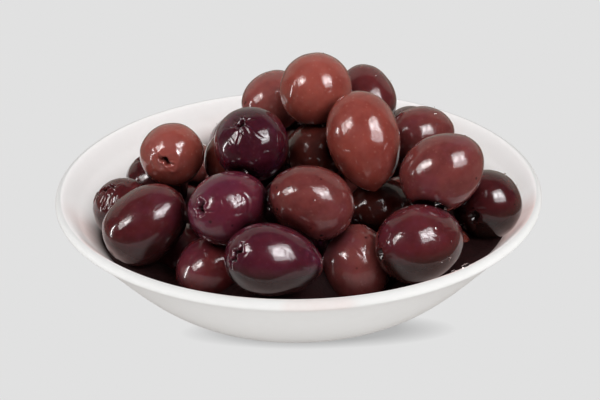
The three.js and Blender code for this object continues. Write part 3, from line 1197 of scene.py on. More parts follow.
@dataclass
class OliveForm:
    """Turns an olive's sizes into its uneven wet body."""

    tip_length: float = 0.05
    tip_sharpness: float = 0.17
    tip_power: float = 1.4
    ring_crowding: float = 1.3
    fine_grid: tuple[int, int] = (100, 150)
    plain_grid: tuple[int, int] = (50, 72)
    swells: tuple[tuple[int, float, float], ...] = ((6, 1.8, 0.11), (12, 4.5, 0.075), (30, 10.0, 0.045),
                                                    (40, 21.0, 0.014))
    swell_pitch: tuple[float, float] = (0.6, 0.8)
    skin_margin: float = 0.12
    stem: StemRelief = StemRelief()
    # How dark the folds are painted: shade and dirt.
    fold_dirt_and_shade: tuple[float, float] = (0.9, 0.3)
    stray_pitch: tuple[float, float] = (75.0, 150.0)
    stray_run: float = 14.0
    stray_depth: tuple[float, float] = (0.03, 0.07)
    stray_width: tuple[float, float] = (0.3, 0.25)
    stray_bow: float = 0.6
    neighbour_reach: float = 34.0
    # Painted shade between neighbours: how it fades from contacts and how hidden points darken.
    far: float = 9.0
    contact_fade: float = 0.8
    contact_share: float = 0.35
    shade_span: tuple[float, float] = (0.33, 0.70)
    shade_power: float = 1.3
    # Painted shade on the undersides: how far they turn down, and how low they lie.
    under_turn: tuple[float, float] = (0.36, -0.12)
    under_height: tuple[float, float] = (41.0, 35.0)

    def shell(self, olive: Olive, olives: Sequence[Olive]) -> Shell:
        """The body of one olive.

        Args:
            olive: The olive.
            olives: All olives of the heap.

        Returns:
            Its closed surface, painted with its ripeness, painted shade and dirt in creases, and painted
            shade.
        """
        draws = np.random.default_rng(olive.seed)
        rings, sides = self.fine_grid if olive.fine else self.plain_grid
        polar = math.pi * (np.arange(1, rings) / rings) ** self.ring_crowding
        turn = circle(sides)
        polar = np.concatenate([np.repeat(polar, sides), [0.0], [math.pi]])[:, None]
        turn = np.concatenate([np.tile(turn, rings - 1), [0.0], [0.0]])[:, None]
        stem = olive.stem_way
        right = unit(np.cross((0.0, 0.0, 1.0), stem))
        upper = np.cross(stem, right)
        sphere = np.cos(polar) * stem + np.sin(polar) * (np.cos(turn) * right + np.sin(turn) * upper)
        body, outward = self.smooth_body(sphere, olive)
        push = self.unevenness(sphere, draws) - self.skin_margin
        off = body - self.smooth_body(stem[None], olive)[0]
        flat = np.stack([off @ right, off @ upper], -1)
        relief, marks = self.stem.carve(flat, sphere @ stem > 0, olive, draws)
        push += relief
        # Folds are painted darker with shade and dirt.
        dirt, darkest = self.fold_dirt_and_shade
        for fold in (*olive.folds, *self.stray_folds(olive, draws)):
            dent = fold.relief(sphere, olive.half_width)
            push += dent
            marks = np.maximum(marks, np.clip(-dirt * dent, 0.0, darkest))
        body = body + outward * push[:, None]
        points, triangles = closed_tube(body[:-2].reshape(rings - 1, sides, 3), body[-2], body[-1])
        placed = olive.centre + points
        return Shell(placed, triangles, {
            "ripeness": np.full(len(placed), olive.ripeness),
            "crease": np.clip(marks, 0.0, 1.0),
            "sunk_shade": olive.painted_shade_share * self.sunk_shade(placed, outward, olive, olives),
            "under": olive.painted_shade_share * self.under(placed, outward),
        })

    def smooth_body(self, sphere: np.ndarray, olive: Olive) -> tuple[np.ndarray, np.ndarray]:
        """The even body under the relief.

        Args:
            sphere: Directions of the points from the middle.
            olive: The olive.

        Returns:
            The points about the olive's middle, and the ways out of the skin there.
        """
        along = (sphere @ olive.tip)[:, None]
        across = sphere - along * olive.tip
        aside = np.linalg.norm(across, axis=1, keepdims=True)
        point = np.exp(-(aside / self.tip_sharpness) ** self.tip_power)
        tip = self.tip_length * olive.pointed * point * (along > 0)
        width = olive.half_width * (1 - olive.taper * along)
        full = 1 + olive.fullness * (1 - along ** 2)
        body = across * width + olive.tip * olive.half_length * (along * full + tip)
        outward = across / olive.half_width + olive.tip * along / olive.half_length
        return body, outward / np.linalg.norm(outward, axis=1, keepdims=True)

    def unevenness(self, sphere: np.ndarray, draws: np.random.Generator) -> np.ndarray:
        """Broad swells and shallow dimples all over the body, as a push outwards.

        Args:
            sphere: Directions of the skin's points from the middle.
            draws: The olive's own draws.

        Returns:
            The push at each point.
        """
        push = np.zeros(len(sphere))
        for waves, pitch, size in self.swells:
            for _ in range(waves):
                way = draws.normal(size=3)
                way *= pitch * drawn(self.swell_pitch, draws.random()) / np.linalg.norm(way)
                phase = 2 * math.pi * draws.random()
                push += size / math.sqrt(waves) * np.sin(sphere @ way + phase)
        return push

    def stray_folds(self, olive: Olive, draws: np.random.Generator) -> list[Fold]:
        """Short shallow folds scattered over the body.

        Args:
            olive: The olive.
            draws: Its own draws.

        Returns:
            The folds.
        """
        folds = []
        for _ in range(olive.stray_folds):
            heading = FULL_TURN * draws.random()
            pitch = self.stray_pitch[1] * draws.random() - self.stray_pitch[0]
            run, climb = self.stray_run * draws.normal(), self.stray_run * draws.normal()
            depth = drawn(self.stray_depth, draws.random())
            width = drawn(self.stray_width, draws.random())
            folds.append(Fold((heading, pitch), (heading + run, pitch + climb), depth, width,
                              self.stray_bow * draws.normal()))
        return folds

    def under(self, points: np.ndarray, outward: np.ndarray) -> np.ndarray:
        """How far points low in the heap turn down, away from the light over the dish.

        Args:
            points: The skin's points.
            outward: The ways out of the skin there.

        Returns:
            Values from 0 in the light to 1 on the underside.
        """
        level, down = self.under_turn
        top, bottom = self.under_height
        turned = np.clip((level - outward[:, 2]) / (level - down), 0.0, 1.0)
        return turned * np.clip((top - points[:, 2]) / (top - bottom), 0.0, 1.0)

    def sunk_shade(self, points: np.ndarray, outward: np.ndarray, olive: Olive,
             olives: Sequence[Olive]) -> np.ndarray:
        """Painted shade: how deep points lie between the neighbours, darker where hidden or touching.

        Args:
            points: The skin's points.
            outward: The ways out of the skin there.
            olive: The olive that they belong to.
            olives: All olives of the heap.

        Returns:
            Values from 0 in the open to 1 between touching olives.
        """
        clear = np.ones(len(points))
        gap = np.full(len(points), self.far)
        for other in olives:
            if other is olive or np.linalg.norm(other.centre - olive.centre) > self.neighbour_reach:
                continue
            clear *= 1 - other.shade_from(points, outward)
            gap = np.minimum(gap, other.gap_to(points))
        contact = np.exp(-np.maximum(gap, 0.0) / self.contact_fade)
        low, high = self.shade_span
        shade = np.clip((1 - clear - low) / (high - low), 0.0, 1.0)
        return np.clip(shade ** self.shade_power + self.contact_share * contact, 0.0, 1.0)


OUTER_OLIVES = (
    Olive("crown", (5.4, 1.2, 61.1), 21.6, 21.2, -93, -36, Tone.BRICK, 0.20, 0.7, Stem.DIMPLE,
          fine=True, taper=0.0, painted_shade_share=0.75, folds=(
            Fold((-131, 35), (-133, -3), 0.10, 0.5, 0.8), Fold((-57, 29), (-53, 20), 0.08),
            Fold((-156, 3), (-143, -7), 0.12, 0.45), Fold((-118, 26), (-108, 18), 0.06))),
    Olive("crown_front", (18.5, -17.5, 53.8), 28.2, 20.6, -70, -55, Tone.BRICK, 0.55, 1.0,
          Stem.DIMPLE, fine=True, painted_shade_share=0.75, folds=(
            Fold((-78, 60), (-84, 50), 0.08), Fold((-42, 40), (-46, 26), 0.12, 0.35),
            Fold((-133, 8), (-124, 1), 0.06), Fold((-98, 46), (-93, 43), 0.08))),
    Olive("crown_back_left", (-6.5, 19, 50), 20.7, 17.7, 45, 15, Tone.ROSY, 0.0, folds=(
            Fold((-96, 29), (-86, 24), 0.06),)),
    Olive("crown_back_right", (20, 16.5, 51.5), 21.4, 17.6, 100, 35, Tone.WINE, 0.35, folds=(
            Fold((-50, 28), (-46, 18), 0.08),)),
    Olive("shoulder_left", (-12.8, -17, 52.5), 22, 21.2, 70, -60, Tone.PLUM, 0.90, 0.3, Stem.STAR,
          (-121, 58), 80, fine=True, stray_folds=4, folds=(
            Fold((-110, 44), (-87, 21), 0.10, 0.25, 0.5), Fold((-111, 48), (-114, 26), 0.20, 0.35),
            Fold((-84, 47), (-66, 33), 0.16, 0.3, -0.3), Fold((-138, 38), (-119, 27), 0.10, 0.3),
            Fold((-141, 34), (-124, 24), 0.08, 0.3), Fold((-160, 37), (-145, 50), 0.08),
            Fold((-91, 42), (-88, 33), 0.10, 0.3))),
    Olive("shoulder_right", (35.5, 4.5, 44.9), 20.6, 17.3, 25, 5, Tone.ROSY, 0.85, folds=(
            Fold((-83, 41), (-61, 27), 0.08, 0.4), Fold((-51, 46), (-46, 34), 0.08))),
    Olive("pit_forward", (-36, -4.5, 44), 20.7, 18.4, 110, -35, Tone.BRICK, 0.35, 0.5, Stem.SLIT,
          (-100, 15), -30, fine=True, painted_shade_share=0.65, folds=(
            Fold((-111, 11), (-101, -2), 0.10, 0.35),)),
    Olive("left_back", (-41, 7.5, 28.5), 20.5, 18, -5, -65, Tone.WINE, 0.70, stray_folds=5, folds=(
            Fold((-144, 22), (-136, 40), 0.12),)),
    Olive("left_wall", (-50, -10.5, 30), 19, 17.5, -35, -80, Tone.WINE, 0.65, 0.3, Stem.CLEFT,
          (-160, 55), 60, fine=True, stray_folds=5, folds=(
            Fold((-130, 50), (-130, 22), 0.45, 0.5, 0.4), Fold((-119, 53), (-118, 25), 0.5, 0.5, -0.3),
            Fold((-105, 50), (-105, 27), 0.4, 0.5), Fold((-141, 46), (-139, 30), 0.25, 0.45))),
    Olive("left_front", (-42.6, -28.3, 34.2), 25.4, 20.4, 25, 32, Tone.WINE, 0.70, 0.6, Stem.DIMPLE,
          fine=True, fullness=0.16, painted_shade_share=0.85, folds=(
            Fold((-74, 44), (-60, 48), 0.10, 0.3), Fold((-3, 57), (10, 50), 0.06))),
    Olive("middle_left", (-19.3, -35.5, 42.5), 23.8, 20.0, 35, 12, Tone.PLUM, 0.30, 0.4, Stem.TORN,
          (-134, 23), 110, fine=True, stray_folds=8, folds=(
            Fold((-148, 32), (-126, 22), 0.30, 0.4), Fold((-126, 19), (-108, 21), 0.22, 0.35),
            Fold((-139, 2), (-122, 9), 0.18, 0.35), Fold((-76, 41), (-70, 18), 0.20, 0.35, 0.3),
            Fold((-66, 44), (-61, 19), 0.20, 0.35, -0.3), Fold((-59, 40), (-61, 27), 0.20, 0.35),
            Fold((-54, 46), (-56, 12), 0.22, 0.5, 0.9), Fold((-97, 40), (-92, 30), 0.14, 0.35),
            Fold((-71, 30), (-55, 33), 0.12, 0.3))),
    Olive("middle", (3.5, -37, 44.5), 24.6, 20.3, -175, 30, Tone.ROSY, 0.80, 0.5, Stem.DIMPLE,
          fine=True, painted_shade_share=0.6, folds=(
            Fold((-102, 44), (-83, 46), 0.08), Fold((-51, 52), (-45, 43), 0.12, 0.35),
            Fold((-155, 44), (-156, 57), 0.08), Fold((-118, 46), (-112, 38), 0.06))),
    Olive("middle_right", (39.9, -28, 48.8), 24.6, 21.2, 5, 35, Tone.ROSY, 0.72, 0.1, Stem.DIMPLE,
          fine=True, folds=(
            Fold((-101, 34), (-91, 38), 0.08, 0.35, 0.3), Fold((-48, 40), (-40, 30), 0.12, 0.35))),
    Olive("right_wall", (54.4, -16.3, 31.8), 21.0, 20.0, 75, -5, Tone.WINE, 0.90, 0.3, Stem.ROUND,
          (-115, 4), 20, fine=True, folds=(
            Fold((-119, 12), (-97, 18), 0.22, 0.35, 0.3), Fold((-121, 23), (-110, 37), 0.10, 0.3),
            Fold((-115, -1), (-101, 6), 0.12, 0.35))),
    Olive("front_right", (33.2, -43, 34.2), 25.8, 21.8, 30, 0, Tone.WINE, 0.58, 0.2, Stem.ROUND,
          (-152, 1), -10, fine=True, stray_folds=5, folds=(
            Fold((-144, 1), (-129, 5), 0.14, 0.35), Fold((-43, 57), (-50, 40), 0.12, 0.35),
            Fold((-71, 38), (-58, 31), 0.16, 0.4), Fold((-44, 38), (-26, 34), 0.12, 0.3, 0.3),
            Fold((-122, 44), (-112, 46), 0.08, 0.3), Fold((-126, 39), (-116, 40), 0.08, 0.3))),
    Olive("front", (-7, -53.4, 35), 27.6, 20.2, 5, -12, Tone.PLUM, 0.65, 0.0, Stem.CLEFT,
          (-144, 25), 78, fine=True, taper=0.14, fullness=-0.06, folds=(
            Fold((-62, 36), (-57, 21), 0.14, 0.35), Fold((-57, 21), (-48, 7), 0.14, 0.35, -0.4),
            Fold((-136, 6), (-128, 32), 0.14, 0.3, 0.2), Fold((-17, 16), (-19, -1), 0.08, 0.35))),
    Olive("under_crown", (5.8, -4.5, 44), 21, 18.5, 30, 15, Tone.RUSSET, 0.75, stray_folds=8, folds=(
            Fold((-107, 52), (-75, 66), 0.20), Fold((-95, 50), (-80, 58), 0.20))),
    Olive("under_middle", (23.2, -16, 31.5), 20.5, 17.5, 25, 5, Tone.RUSSET, 0.80,
          stray_folds=8, folds=(
            Fold((-81, 58), (-65, 26), 0.25), Fold((-78, 45), (-69, 32), 0.2, 0.3))),
    Olive("under_left", (-18.5, 1.5, 40.5), 19, 16.5, 55, 35, Tone.RUSSET, 0.20, painted_shade_share=0.3),
    Olive("low_left", (-24.3, -36, 23.6), 21.6, 19.8, 65, 20, Tone.WINE, 0.10, 0.6,
          fine=True, painted_shade_share=0.75, folds=(
            Fold((-132, 32), (-125, 49), 0.07, 0.3, 0.3), Fold((-100, 52), (-83, 43), 0.07, 0.3),
            Fold((-76, 28), (-64, 24), 0.10, 0.3))),
    Olive("low_front", (15.7, -38, 24.2), 25.0, 19.6, -90, -60, Tone.ROSY, 0.60, 0.3,
          fine=True, painted_shade_share=0.75, folds=(
            Fold((-92, 54), (-80, 44), 0.14, 0.35), Fold((-112, 42), (-101, 39), 0.08, 0.3))),
    Olive("low_right", (40.2, -26, 23.5), 17.5, 16, 20, -10, Tone.RUSSET, 0.35, painted_shade_share=0.35),
)


@dataclass
class HeapLayout:
    """Lays the olives: the outer ones as listed, and the others by a rule with seeded draws."""

    form: DishForm
    dish_gap: float = 0.45
    touch_gap: float = 0.1
    crown_height: float = 65.5
    heap_slope: float = 0.56
    crest_x: float = 5.0
    crest_height: float = 65.0
    crest_falls: tuple[float, float] = (0.8, 0.65)
    back_fall: float = 0.4845
    layer_drops: tuple[float, float] = (13.0, 1.0)
    fill_radius: float = 56.0
    fill_spots: int = 300
    fill_passes: int = 12
    fill_depth: float = 16.0
    fill_lowest: float = 12.0
    fill_seed: int = 23
    half_width: tuple[float, float] = (8.4, 1.7)
    shrink: float = 0.07
    stretch: tuple[float, float] = (1.08, 0.2)
    pitch: tuple[float, float] = (-35.0, 70.0)
    nestle: float = 1.8
    neighbour_reach: float = 27.0
    golden_angle: float = math.radians(137.508)
    open_wall: tuple[float, float] = (46.0, -40.0)
    ball_shares: np.ndarray = field(default_factory=lambda: np.array([0.0, -1.0, -0.5, 0.5, 1.0]))

    def outer(self) -> list[Olive]:
        """The outer olives, each moved off the wall where it would touch it.

        Returns:
            The olives, in the order of their table.
        """
        olives = [replace(given, seed=number) for number, given in enumerate(OUTER_OLIVES)]
        for olive in olives:
            self.lift_off_dish(olive)
        return olives

    def lift_off_dish(self, olive: Olive) -> None:
        """Moves an olive off the wall until it is clear of the glaze.

        Args:
            olive: The olive.
        """
        centres, radii = olive.balls(self.ball_shares)
        clear, away = self.form.ball_clearance(centres, radii)
        worst = int(clear.argmin())
        if clear[worst] < self.touch_gap:
            x, y, _ = centres[worst]
            outward = away[worst][0] / math.hypot(x, y)
            olive.centre = olive.centre + np.array([x * outward, y * outward, away[worst][1]]) * (
                self.touch_gap - clear[worst])

    def ceiling(self, x: float, y: float) -> float:
        """Highest centre that a filling olive may have at a spot.

        Args:
            x: The spot's place along X.
            y: The spot's place along Y.

        Returns:
            The height.
        """
        fall = self.crest_falls[0] if x < self.crest_x else self.crest_falls[1]
        crest = self.crest_height - fall * abs(x - self.crest_x) - self.back_fall * y
        layer = self.layer_drops[0] if y < 0 else self.layer_drops[1]
        return min(crest, self.crown_height - self.heap_slope * math.hypot(x, y) - layer)

    def filling(self, outer: Sequence[Olive]) -> list[Olive]:
        """The olives behind and under the outer ones, on a golden-angle spiral.

        Args:
            outer: The outer olives.

        Returns:
            The olives that find room, without the outer ones.
        """
        draw = repeatable_draws(self.fill_seed)
        placed = [olive.balls(self.ball_shares) for olive in outer]
        centres = [olive.centre for olive in outer]
        laid: list[Olive] = []
        for layer in range(self.fill_passes):
            for spot in range(self.fill_spots):
                radius = self.fill_radius * math.sqrt((spot + 0.5) / self.fill_spots)
                turn = (spot + layer * 0.5) * self.golden_angle
                x, y = radius * math.cos(turn), radius * math.sin(turn)
                half_width = drawn(self.half_width, draw()) - self.shrink * layer
                half_length = half_width * drawn(self.stretch, draw())
                heading = FULL_TURN * draw()
                pitch = drawn(self.pitch, draw())
                top = self.ceiling(x, y)
                heights = np.arange(top, max(self.fill_lowest, top - self.fill_depth) - 1e-9, -1.0)
                if not len(heights) or x > self.open_wall[0] or y < self.open_wall[1]:
                    continue
                olive = Olive(f"filling_{len(laid)}", (0.0, 0.0, 0.0), 2 * half_length, 2 * half_width,
                              heading, pitch)
                height = self.first_free(olive, x, y, heights, centres, placed)
                if height is None:
                    continue
                olive.centre = np.array([x, y, height])
                laid.append(olive)
                centres.append(olive.centre)
                placed.append(olive.balls(self.ball_shares))
        return laid

    def first_free(self, olive: Olive, x: float, y: float, heights: np.ndarray,
                   centres: list[np.ndarray],
                   placed: list[tuple[np.ndarray, np.ndarray]]) -> float | None:
        """The highest place in a column where an olive fits.

        Args:
            olive: The olive, at the origin.
            x: The column's place along X.
            y: The column's place along Y.
            heights: The heights to try, from the top down.
            centres: Centres of the olives that are laid.
            placed: Their balls.

        Returns:
            The height, or nothing where the column has no room.
        """
        own, radii = olive.balls(self.ball_shares)
        spots = np.stack([np.full_like(heights, x), np.full_like(heights, y), heights], -1)
        mine = spots[:, None, :] + own
        clear, _ = self.form.ball_clearance(mine, radii)
        free = clear.min(-1) > self.dish_gap
        if not free.any():
            return None
        theirs = np.array(centres)
        near = np.linalg.norm(spots[:, None] - theirs, axis=-1) <= self.neighbour_reach
        for index in np.flatnonzero(near.any(0)):
            other, other_radii = placed[index]
            apart = np.linalg.norm(mine[:, :, None] - other, axis=-1)
            touch = (apart < radii[:, None] + other_radii - self.nestle).any((1, 2))
            free &= ~(touch & near[:, index])
        return float(heights[free.argmax()]) if free.any() else None


def repeatable_draws(seed: int) -> Callable[[], float]:
    """Draws from 0 to 1 that come out the same each time.

    Args:
        seed: Where they start.

    Returns:
        A function that gives the next one.
    """
    factor, step, span = 1664525, 1013904223, 2 ** 32
    state = seed

    def draw() -> float:
        """Gives the next draw.

        Returns:
            A value from 0 to 1.
        """
        nonlocal state
        state = (state * factor + step) % span
        return state / span

    return draw


@dataclass
class OliveHeap:
    """All olives of the heap, one piece for each kind, over their core."""

    layout: HeapLayout
    form: OliveForm
    finish_seed: int = 7
    ripeness: tuple[float, float] = (0.3, 0.7)
    stray_folds: tuple[int, int] = (2, 9)
    first_seed: int = 100
    tone_shares: tuple[tuple[Tone, float], ...] = (
        (Tone.BRICK, 0.18), (Tone.ROSY, 0.20), (Tone.WINE, 0.14), (Tone.PLUM, 0.24), (Tone.RUSSET, 0.24))

    def lay(self) -> list[Olive]:
        """Lays the olives and gives the filling ones their kinds.

        Returns:
            The outer olives, then the filling ones.
        """
        outer = self.layout.outer()
        filling = self.layout.filling(outer)
        draws = np.random.default_rng(self.finish_seed)
        tones = [tone for tone, _ in self.tone_shares]
        shares = [share for _, share in self.tone_shares]
        for number, olive in enumerate(filling):
            olive.tone = tones[draws.choice(len(tones), p=shares)]
            olive.ripeness = drawn(self.ripeness, draws.random())
            olive.stem = list(Stem)[draws.integers(len(Stem))]
            olive.stray_folds = int(draws.integers(*self.stray_folds))
            olive.seed = self.first_seed + number
        LOG.info("laid %d outer and %d filling olives", len(outer), len(filling))
        return outer + filling

    def build(self, olives: Sequence[Olive]) -> list[bpy.types.Object]:
        """Makes one piece of each kind; with the core they stand for the heap's frame node.

        Args:
            olives: The olives as they lie.

        Returns:
            The pieces.
        """
        pieces = []
        for tone in Tone:
            skin = tone.value
            shells = [self.form.shell(olive, olives) for olive in olives if olive.tone is tone]
            piece = make_piece(skin.name, join_shells(shells), skin.make())
            dress(piece, SKIN_SLOT, "olives")
            pieces.append(piece)
        core = make_piece("heap_core", HeapCore(self.layout.form).shell(olives), CoreFinish().make())
        dress(core, SKIN_SLOT, "olives")
        return [*pieces, core]


@dataclass
class HeapCore:
    """The core of the heap: a top that follows the olives over a bottom that follows the dish."""

    form: DishForm
    gap: float = 0.6
    spokes: int = 120
    rings: int = 34
    blend: float = 7.0
    sink: float = 5.5
    floor_reach: float = 11.0
    least: float = 0.5
    reach: float = 66.0
    edge_spots: int = 80
    edge_margin: float = 0.2
    edge_passes: int = 6

    def top(self, x: np.ndarray, y: np.ndarray, olives: Sequence[Olive]) -> np.ndarray:
        """Height of the core's top at spots.

        Args:
            x: The spots' places along X.
            y: The spots' places along Y.
            olives: The olives as they lie.

        Returns:
            The heights.
        """
        floor = self.form.inside_height(np.hypot(x, y)) + self.gap
        spread = 2 * self.blend ** 2
        weight = np.full_like(x, math.exp(-self.floor_reach ** 2 / spread))
        total = weight * floor
        for olive in olives:
            share = np.exp(-((olive.centre[0] - x) ** 2 + (olive.centre[1] - y) ** 2) / spread)
            weight = weight + share
            total = total + share * olive.centre[2]
        return np.maximum(total / weight - self.sink, floor + self.least)

    def edge(self, turn: np.ndarray, olives: Sequence[Olive]) -> np.ndarray:
        """The core's outer radius along each spoke, evened out between neighbours.

        Args:
            turn: The spokes' turns.
            olives: The olives as they lie.

        Returns:
            The radii.
        """
        radii = np.linspace(self.form.foot_radius, self.reach, self.edge_spots)
        grid = np.stack([np.cos(turn), np.sin(turn)])[:, :, None] * radii
        over = self.top(grid[0], grid[1], olives) > (
            self.form.inside_height(radii) + self.gap + self.least + self.edge_margin)
        first = np.where(over.all(1), len(radii) - 1, over.argmin(1))
        met = radii[first]
        for _ in range(self.edge_passes):
            met = np.minimum(met, (np.roll(met, 1) + met + np.roll(met, -1)) / 3)
        return met

    def shell(self, olives: Sequence[Olive]) -> Shell:
        """The closed surface of the core.

        Args:
            olives: The olives as they lie.

        Returns:
            The surface, without paint.
        """
        turn = circle(self.spokes)
        edge = self.edge(turn, olives)
        share = np.arange(1, self.rings + 1) / self.rings
        radius = share[:, None] * edge
        x, y = radius * np.cos(turn), radius * np.sin(turn)
        over = np.stack([x, y, self.top(x, y, olives)], -1)
        under = np.stack([x, y, self.form.inside_height(radius) + self.gap], -1)
        zero = np.zeros(1)
        peak = np.array([0.0, 0.0, self.top(zero, zero, olives)[0]])
        pit = np.array([0.0, 0.0, self.form.inside_height(zero)[0] + self.gap])
        points, triangles = closed_tube(np.concatenate([under, over[::-1]]), pit, peak)
        return Shell(points, triangles)


# ---------------------------------------------------------------- brine


@dataclass
class Brine:
    """Beads of brine where olives touch and on their skins, and drops on the lip."""

    form: DishForm
    finish: BrineFinish
    seed: int = 11
    rings: int = 7
    sides: int = 12
    contact_gap: float = 0.8
    contact_size: tuple[float, float] = (0.28, 0.26)
    contact_spread: float = math.radians(40.0)
    contact_stretch: tuple[float, float] = (1.2, 1.6)
    contact_width: float = 1.15
    crevice: tuple[float, float] = (0.1, 9.5)
    touching: int = 2
    beads_per_contact: int = 2
    skin_beads: int = 6
    skin_size: tuple[float, float] = (0.13, 0.20)
    skin_lift: float = 0.2
    skin_sink: float = 0.12
    skin_room: float = 1.0
    skin_shape: tuple[float, float, float] = (1.2, 1.0, 0.8)
    cross_way: tuple[float, float, float] = (0.3, 0.5, 0.81)
    heap_middle: tuple[float, float, float] = (0.0, 0.0, 15.0)
    lip_drops: tuple[tuple[float, float, float], ...] = ((-48, 118, 1.1), (-52, 112, 0.6))
    drop_lift: float = 0.15
    drop_shape: tuple[float, float, float] = (1.25, 0.9, 0.45)

    def bead(self, centre: np.ndarray, axes: np.ndarray, radii: Sequence[float]) -> Shell:
        """A small ellipsoid of brine.

        Args:
            centre: Its middle.
            axes: Its three directions, as rows.
            radii: Its half sizes along them.

        Returns:
            Its closed surface.
        """
        polar = (math.pi * np.arange(1, self.rings) / self.rings)[:, None]
        turn = circle(self.sides)
        ball = np.stack([np.sin(polar) * np.cos(turn), np.sin(polar) * np.sin(turn),
                         np.cos(polar) + 0 * turn], -1)
        ends = np.array([0.0, 0.0, 1.0])
        points, triangles = closed_tube(ball, ends, -ends)
        return Shell(centre + (points * np.array(radii)) @ axes, triangles[:, ::-1])

    def contacts(self, olives: Sequence[Olive], draws: np.random.Generator) -> list[Shell]:
        """Beads held between olives that touch.

        Args:
            olives: The olives as they lie.
            draws: The beads' draws.

        Returns:
            The beads.
        """
        beads = []
        for index, one in enumerate(olives):
            for other in olives[index + 1:]:
                across = other.centre - one.centre
                distance = float(np.linalg.norm(across))
                across /= distance
                gap = distance - one.reach(across) - other.reach(-across)
                if gap > self.contact_gap:
                    continue
                touch = one.centre + across * (one.reach(across) + gap / 2)
                outward = touch - np.array(self.heap_middle)
                outward = unit(outward - across * (outward @ across))
                for _ in range(self.beads_per_contact):
                    beads.extend(self.contact_bead(touch, across, outward, gap, draws, olives))
        return beads

    def contact_bead(self, touch: np.ndarray, across: np.ndarray, outward: np.ndarray, gap: float,
                     draws: np.random.Generator, olives: Sequence[Olive]) -> list[Shell]:
        """One bead in the crevice round a contact, or none where a third olive lies.

        Args:
            touch: Where the two olives meet.
            across: From one olive to the other.
            outward: Out of the heap.
            gap: How far apart the olives are.
            draws: The beads' draws.
            olives: All olives.

        Returns:
            A list of one bead, or an empty one.
        """
        turn = self.contact_spread * draws.normal()
        size = drawn(self.contact_size, draws.random())
        stretch = drawn(self.contact_stretch, draws.random())
        side = np.cross(across, outward)
        way = math.cos(turn) * outward + math.sin(turn) * side
        least, roundness = self.crevice
        centre = touch + way * math.sqrt(max(2 * size - gap, least) * roundness)
        near = sum(float(olive.gap_to(centre[None])[0]) < 2 * size for olive in olives)
        if near > self.touching:
            return []
        axes = np.stack([np.cross(across, way), across, way])
        return [self.bead(centre, axes, (size * stretch, size * self.contact_width, size))]

    def specks(self, olives: Sequence[Olive], draws: np.random.Generator) -> list[Shell]:
        """Fine beads that cling to the upper skins.

        Args:
            olives: The olives as they lie.
            draws: The beads' draws.

        Returns:
            The beads.
        """
        beads = []
        for olive in olives:
            for _ in range(self.skin_beads):
                way = draws.normal(size=3)
                way[2] = abs(way[2]) + self.skin_lift
                way = unit(way)
                size = drawn(self.skin_size, draws.random() ** 2)
                spot = olive.centre + way * (olive.reach(way) - self.skin_sink)
                if any(other is not olive and float(other.gap_to(spot[None])[0]) < self.skin_room
                       for other in olives):
                    continue
                right = unit(np.cross(way, self.cross_way))
                axes = np.stack([right, np.cross(way, right), way])
                beads.append(self.bead(spot, axes, [size * share for share in self.skin_shape]))
        return beads

    def on_lip(self, turn: float, roll: float, height: float) -> np.ndarray:
        """A spot on the bead at a turn about the dish and a roll about the bead, in degrees.

        Args:
            turn: The turn about the dish.
            roll: The roll about the bead.
            height: How far off the bead's surface.

        Returns:
            The spot.
        """
        radius = self.form.lip_radius + height
        across = self.form.rim_radius - self.form.lip_radius + radius * math.cos(math.radians(roll))
        level = self.form.height - self.form.lip_radius + radius * math.sin(math.radians(roll))
        heading = math.radians(turn)
        return np.array([across * math.cos(heading), across * math.sin(heading), level])

    def drops(self) -> list[Shell]:
        """Drops that stand on the lip.

        Returns:
            The drops.
        """
        beads = []
        for turn, roll, size in self.lip_drops:
            spot = self.on_lip(turn, roll, self.drop_lift * size)
            way = self.on_lip(turn, roll, 1.0) - self.on_lip(turn, roll, 0.0)
            heading = math.radians(turn)
            along = np.array([-math.sin(heading), math.cos(heading), 0.0])
            axes = np.stack([along, np.cross(way, along), way])
            beads.append(self.bead(spot, axes, [share * size for share in self.drop_shape]))
        return beads

    def build(self, olives: Sequence[Olive]) -> list[bpy.types.Object]:
        """Makes the beads on the olives and the brine on the lip.

        Args:
            olives: The olives as they lie.

        Returns:
            The two pieces.
        """
        draws = np.random.default_rng(self.seed)
        material = self.finish.make()
        beads = self.contacts(olives, draws) + self.specks(olives, draws)
        wet = make_piece("brine_beads", join_shells(beads), material)
        dress(wet, SKIN_SLOT)
        lip = make_piece("brine_on_lip", join_shells(self.drops()), material)
        dress(lip, SKIN_SLOT)
        return [wet, lip]


# ---------------------------------------------------------------- studio


class LightUse(Enum):
    """What a light does: it only lights, or it's only mirrored."""

    LIGHT = (True, False)
    MIRROR = (False, True)


@dataclass(frozen=True)
class SoftLight:
    """A rectangular soft light, seen from the dish at an azimuth and elevation in degrees."""

    name: str
    azimuth: float
    elevation: float
    width: float
    height: float
    tilt: float
    radiance: float
    only: tuple[str, ...]
    colour: Colour = (1.0, 1.0, 1.0)
    use: LightUse = LightUse.LIGHT
    distance: float = 1.5

    def build(self, target: Vector) -> bpy.types.Object:
        """Makes the light; its angular size is that of its width and height in degrees.

        Args:
            target: What the light faces.

        Returns:
            The light, linked to the scene.
        """
        turn, lift = math.radians(self.azimuth), math.radians(self.elevation)
        way = Vector((math.sin(turn) * math.cos(lift), -math.cos(turn) * math.cos(lift), math.sin(lift)))
        lamp = bpy.data.lights.new(self.name, "AREA")
        lamp.shape = "RECTANGLE"
        lamp.size = 2 * self.distance * math.tan(math.radians(self.width) / 2)
        lamp.size_y = 2 * self.distance * math.tan(math.radians(self.height) / 2)
        lamp.energy = self.radiance * math.pi * lamp.size * lamp.size_y
        lamp.color = self.colour
        light = bpy.data.objects.new(self.name, lamp)
        spin = Matrix.Rotation(math.radians(self.tilt), 4, "Z")
        place = Matrix.Translation(target + way * self.distance)
        light.matrix_world = place @ way.to_track_quat("Z", "Y").to_matrix().to_4x4() @ spin
        light.visible_camera = False
        light.visible_diffuse, light.visible_glossy = self.use.value
        lit = bpy.data.collections.new(self.name + "_receivers")
        for name in self.only:
            lit.objects.link(bpy.data.objects[name])
        light.light_linking.receiver_collection = lit
        light.light_linking.blocker_collection = lit
        bpy.context.scene.collection.objects.link(light)
        return light


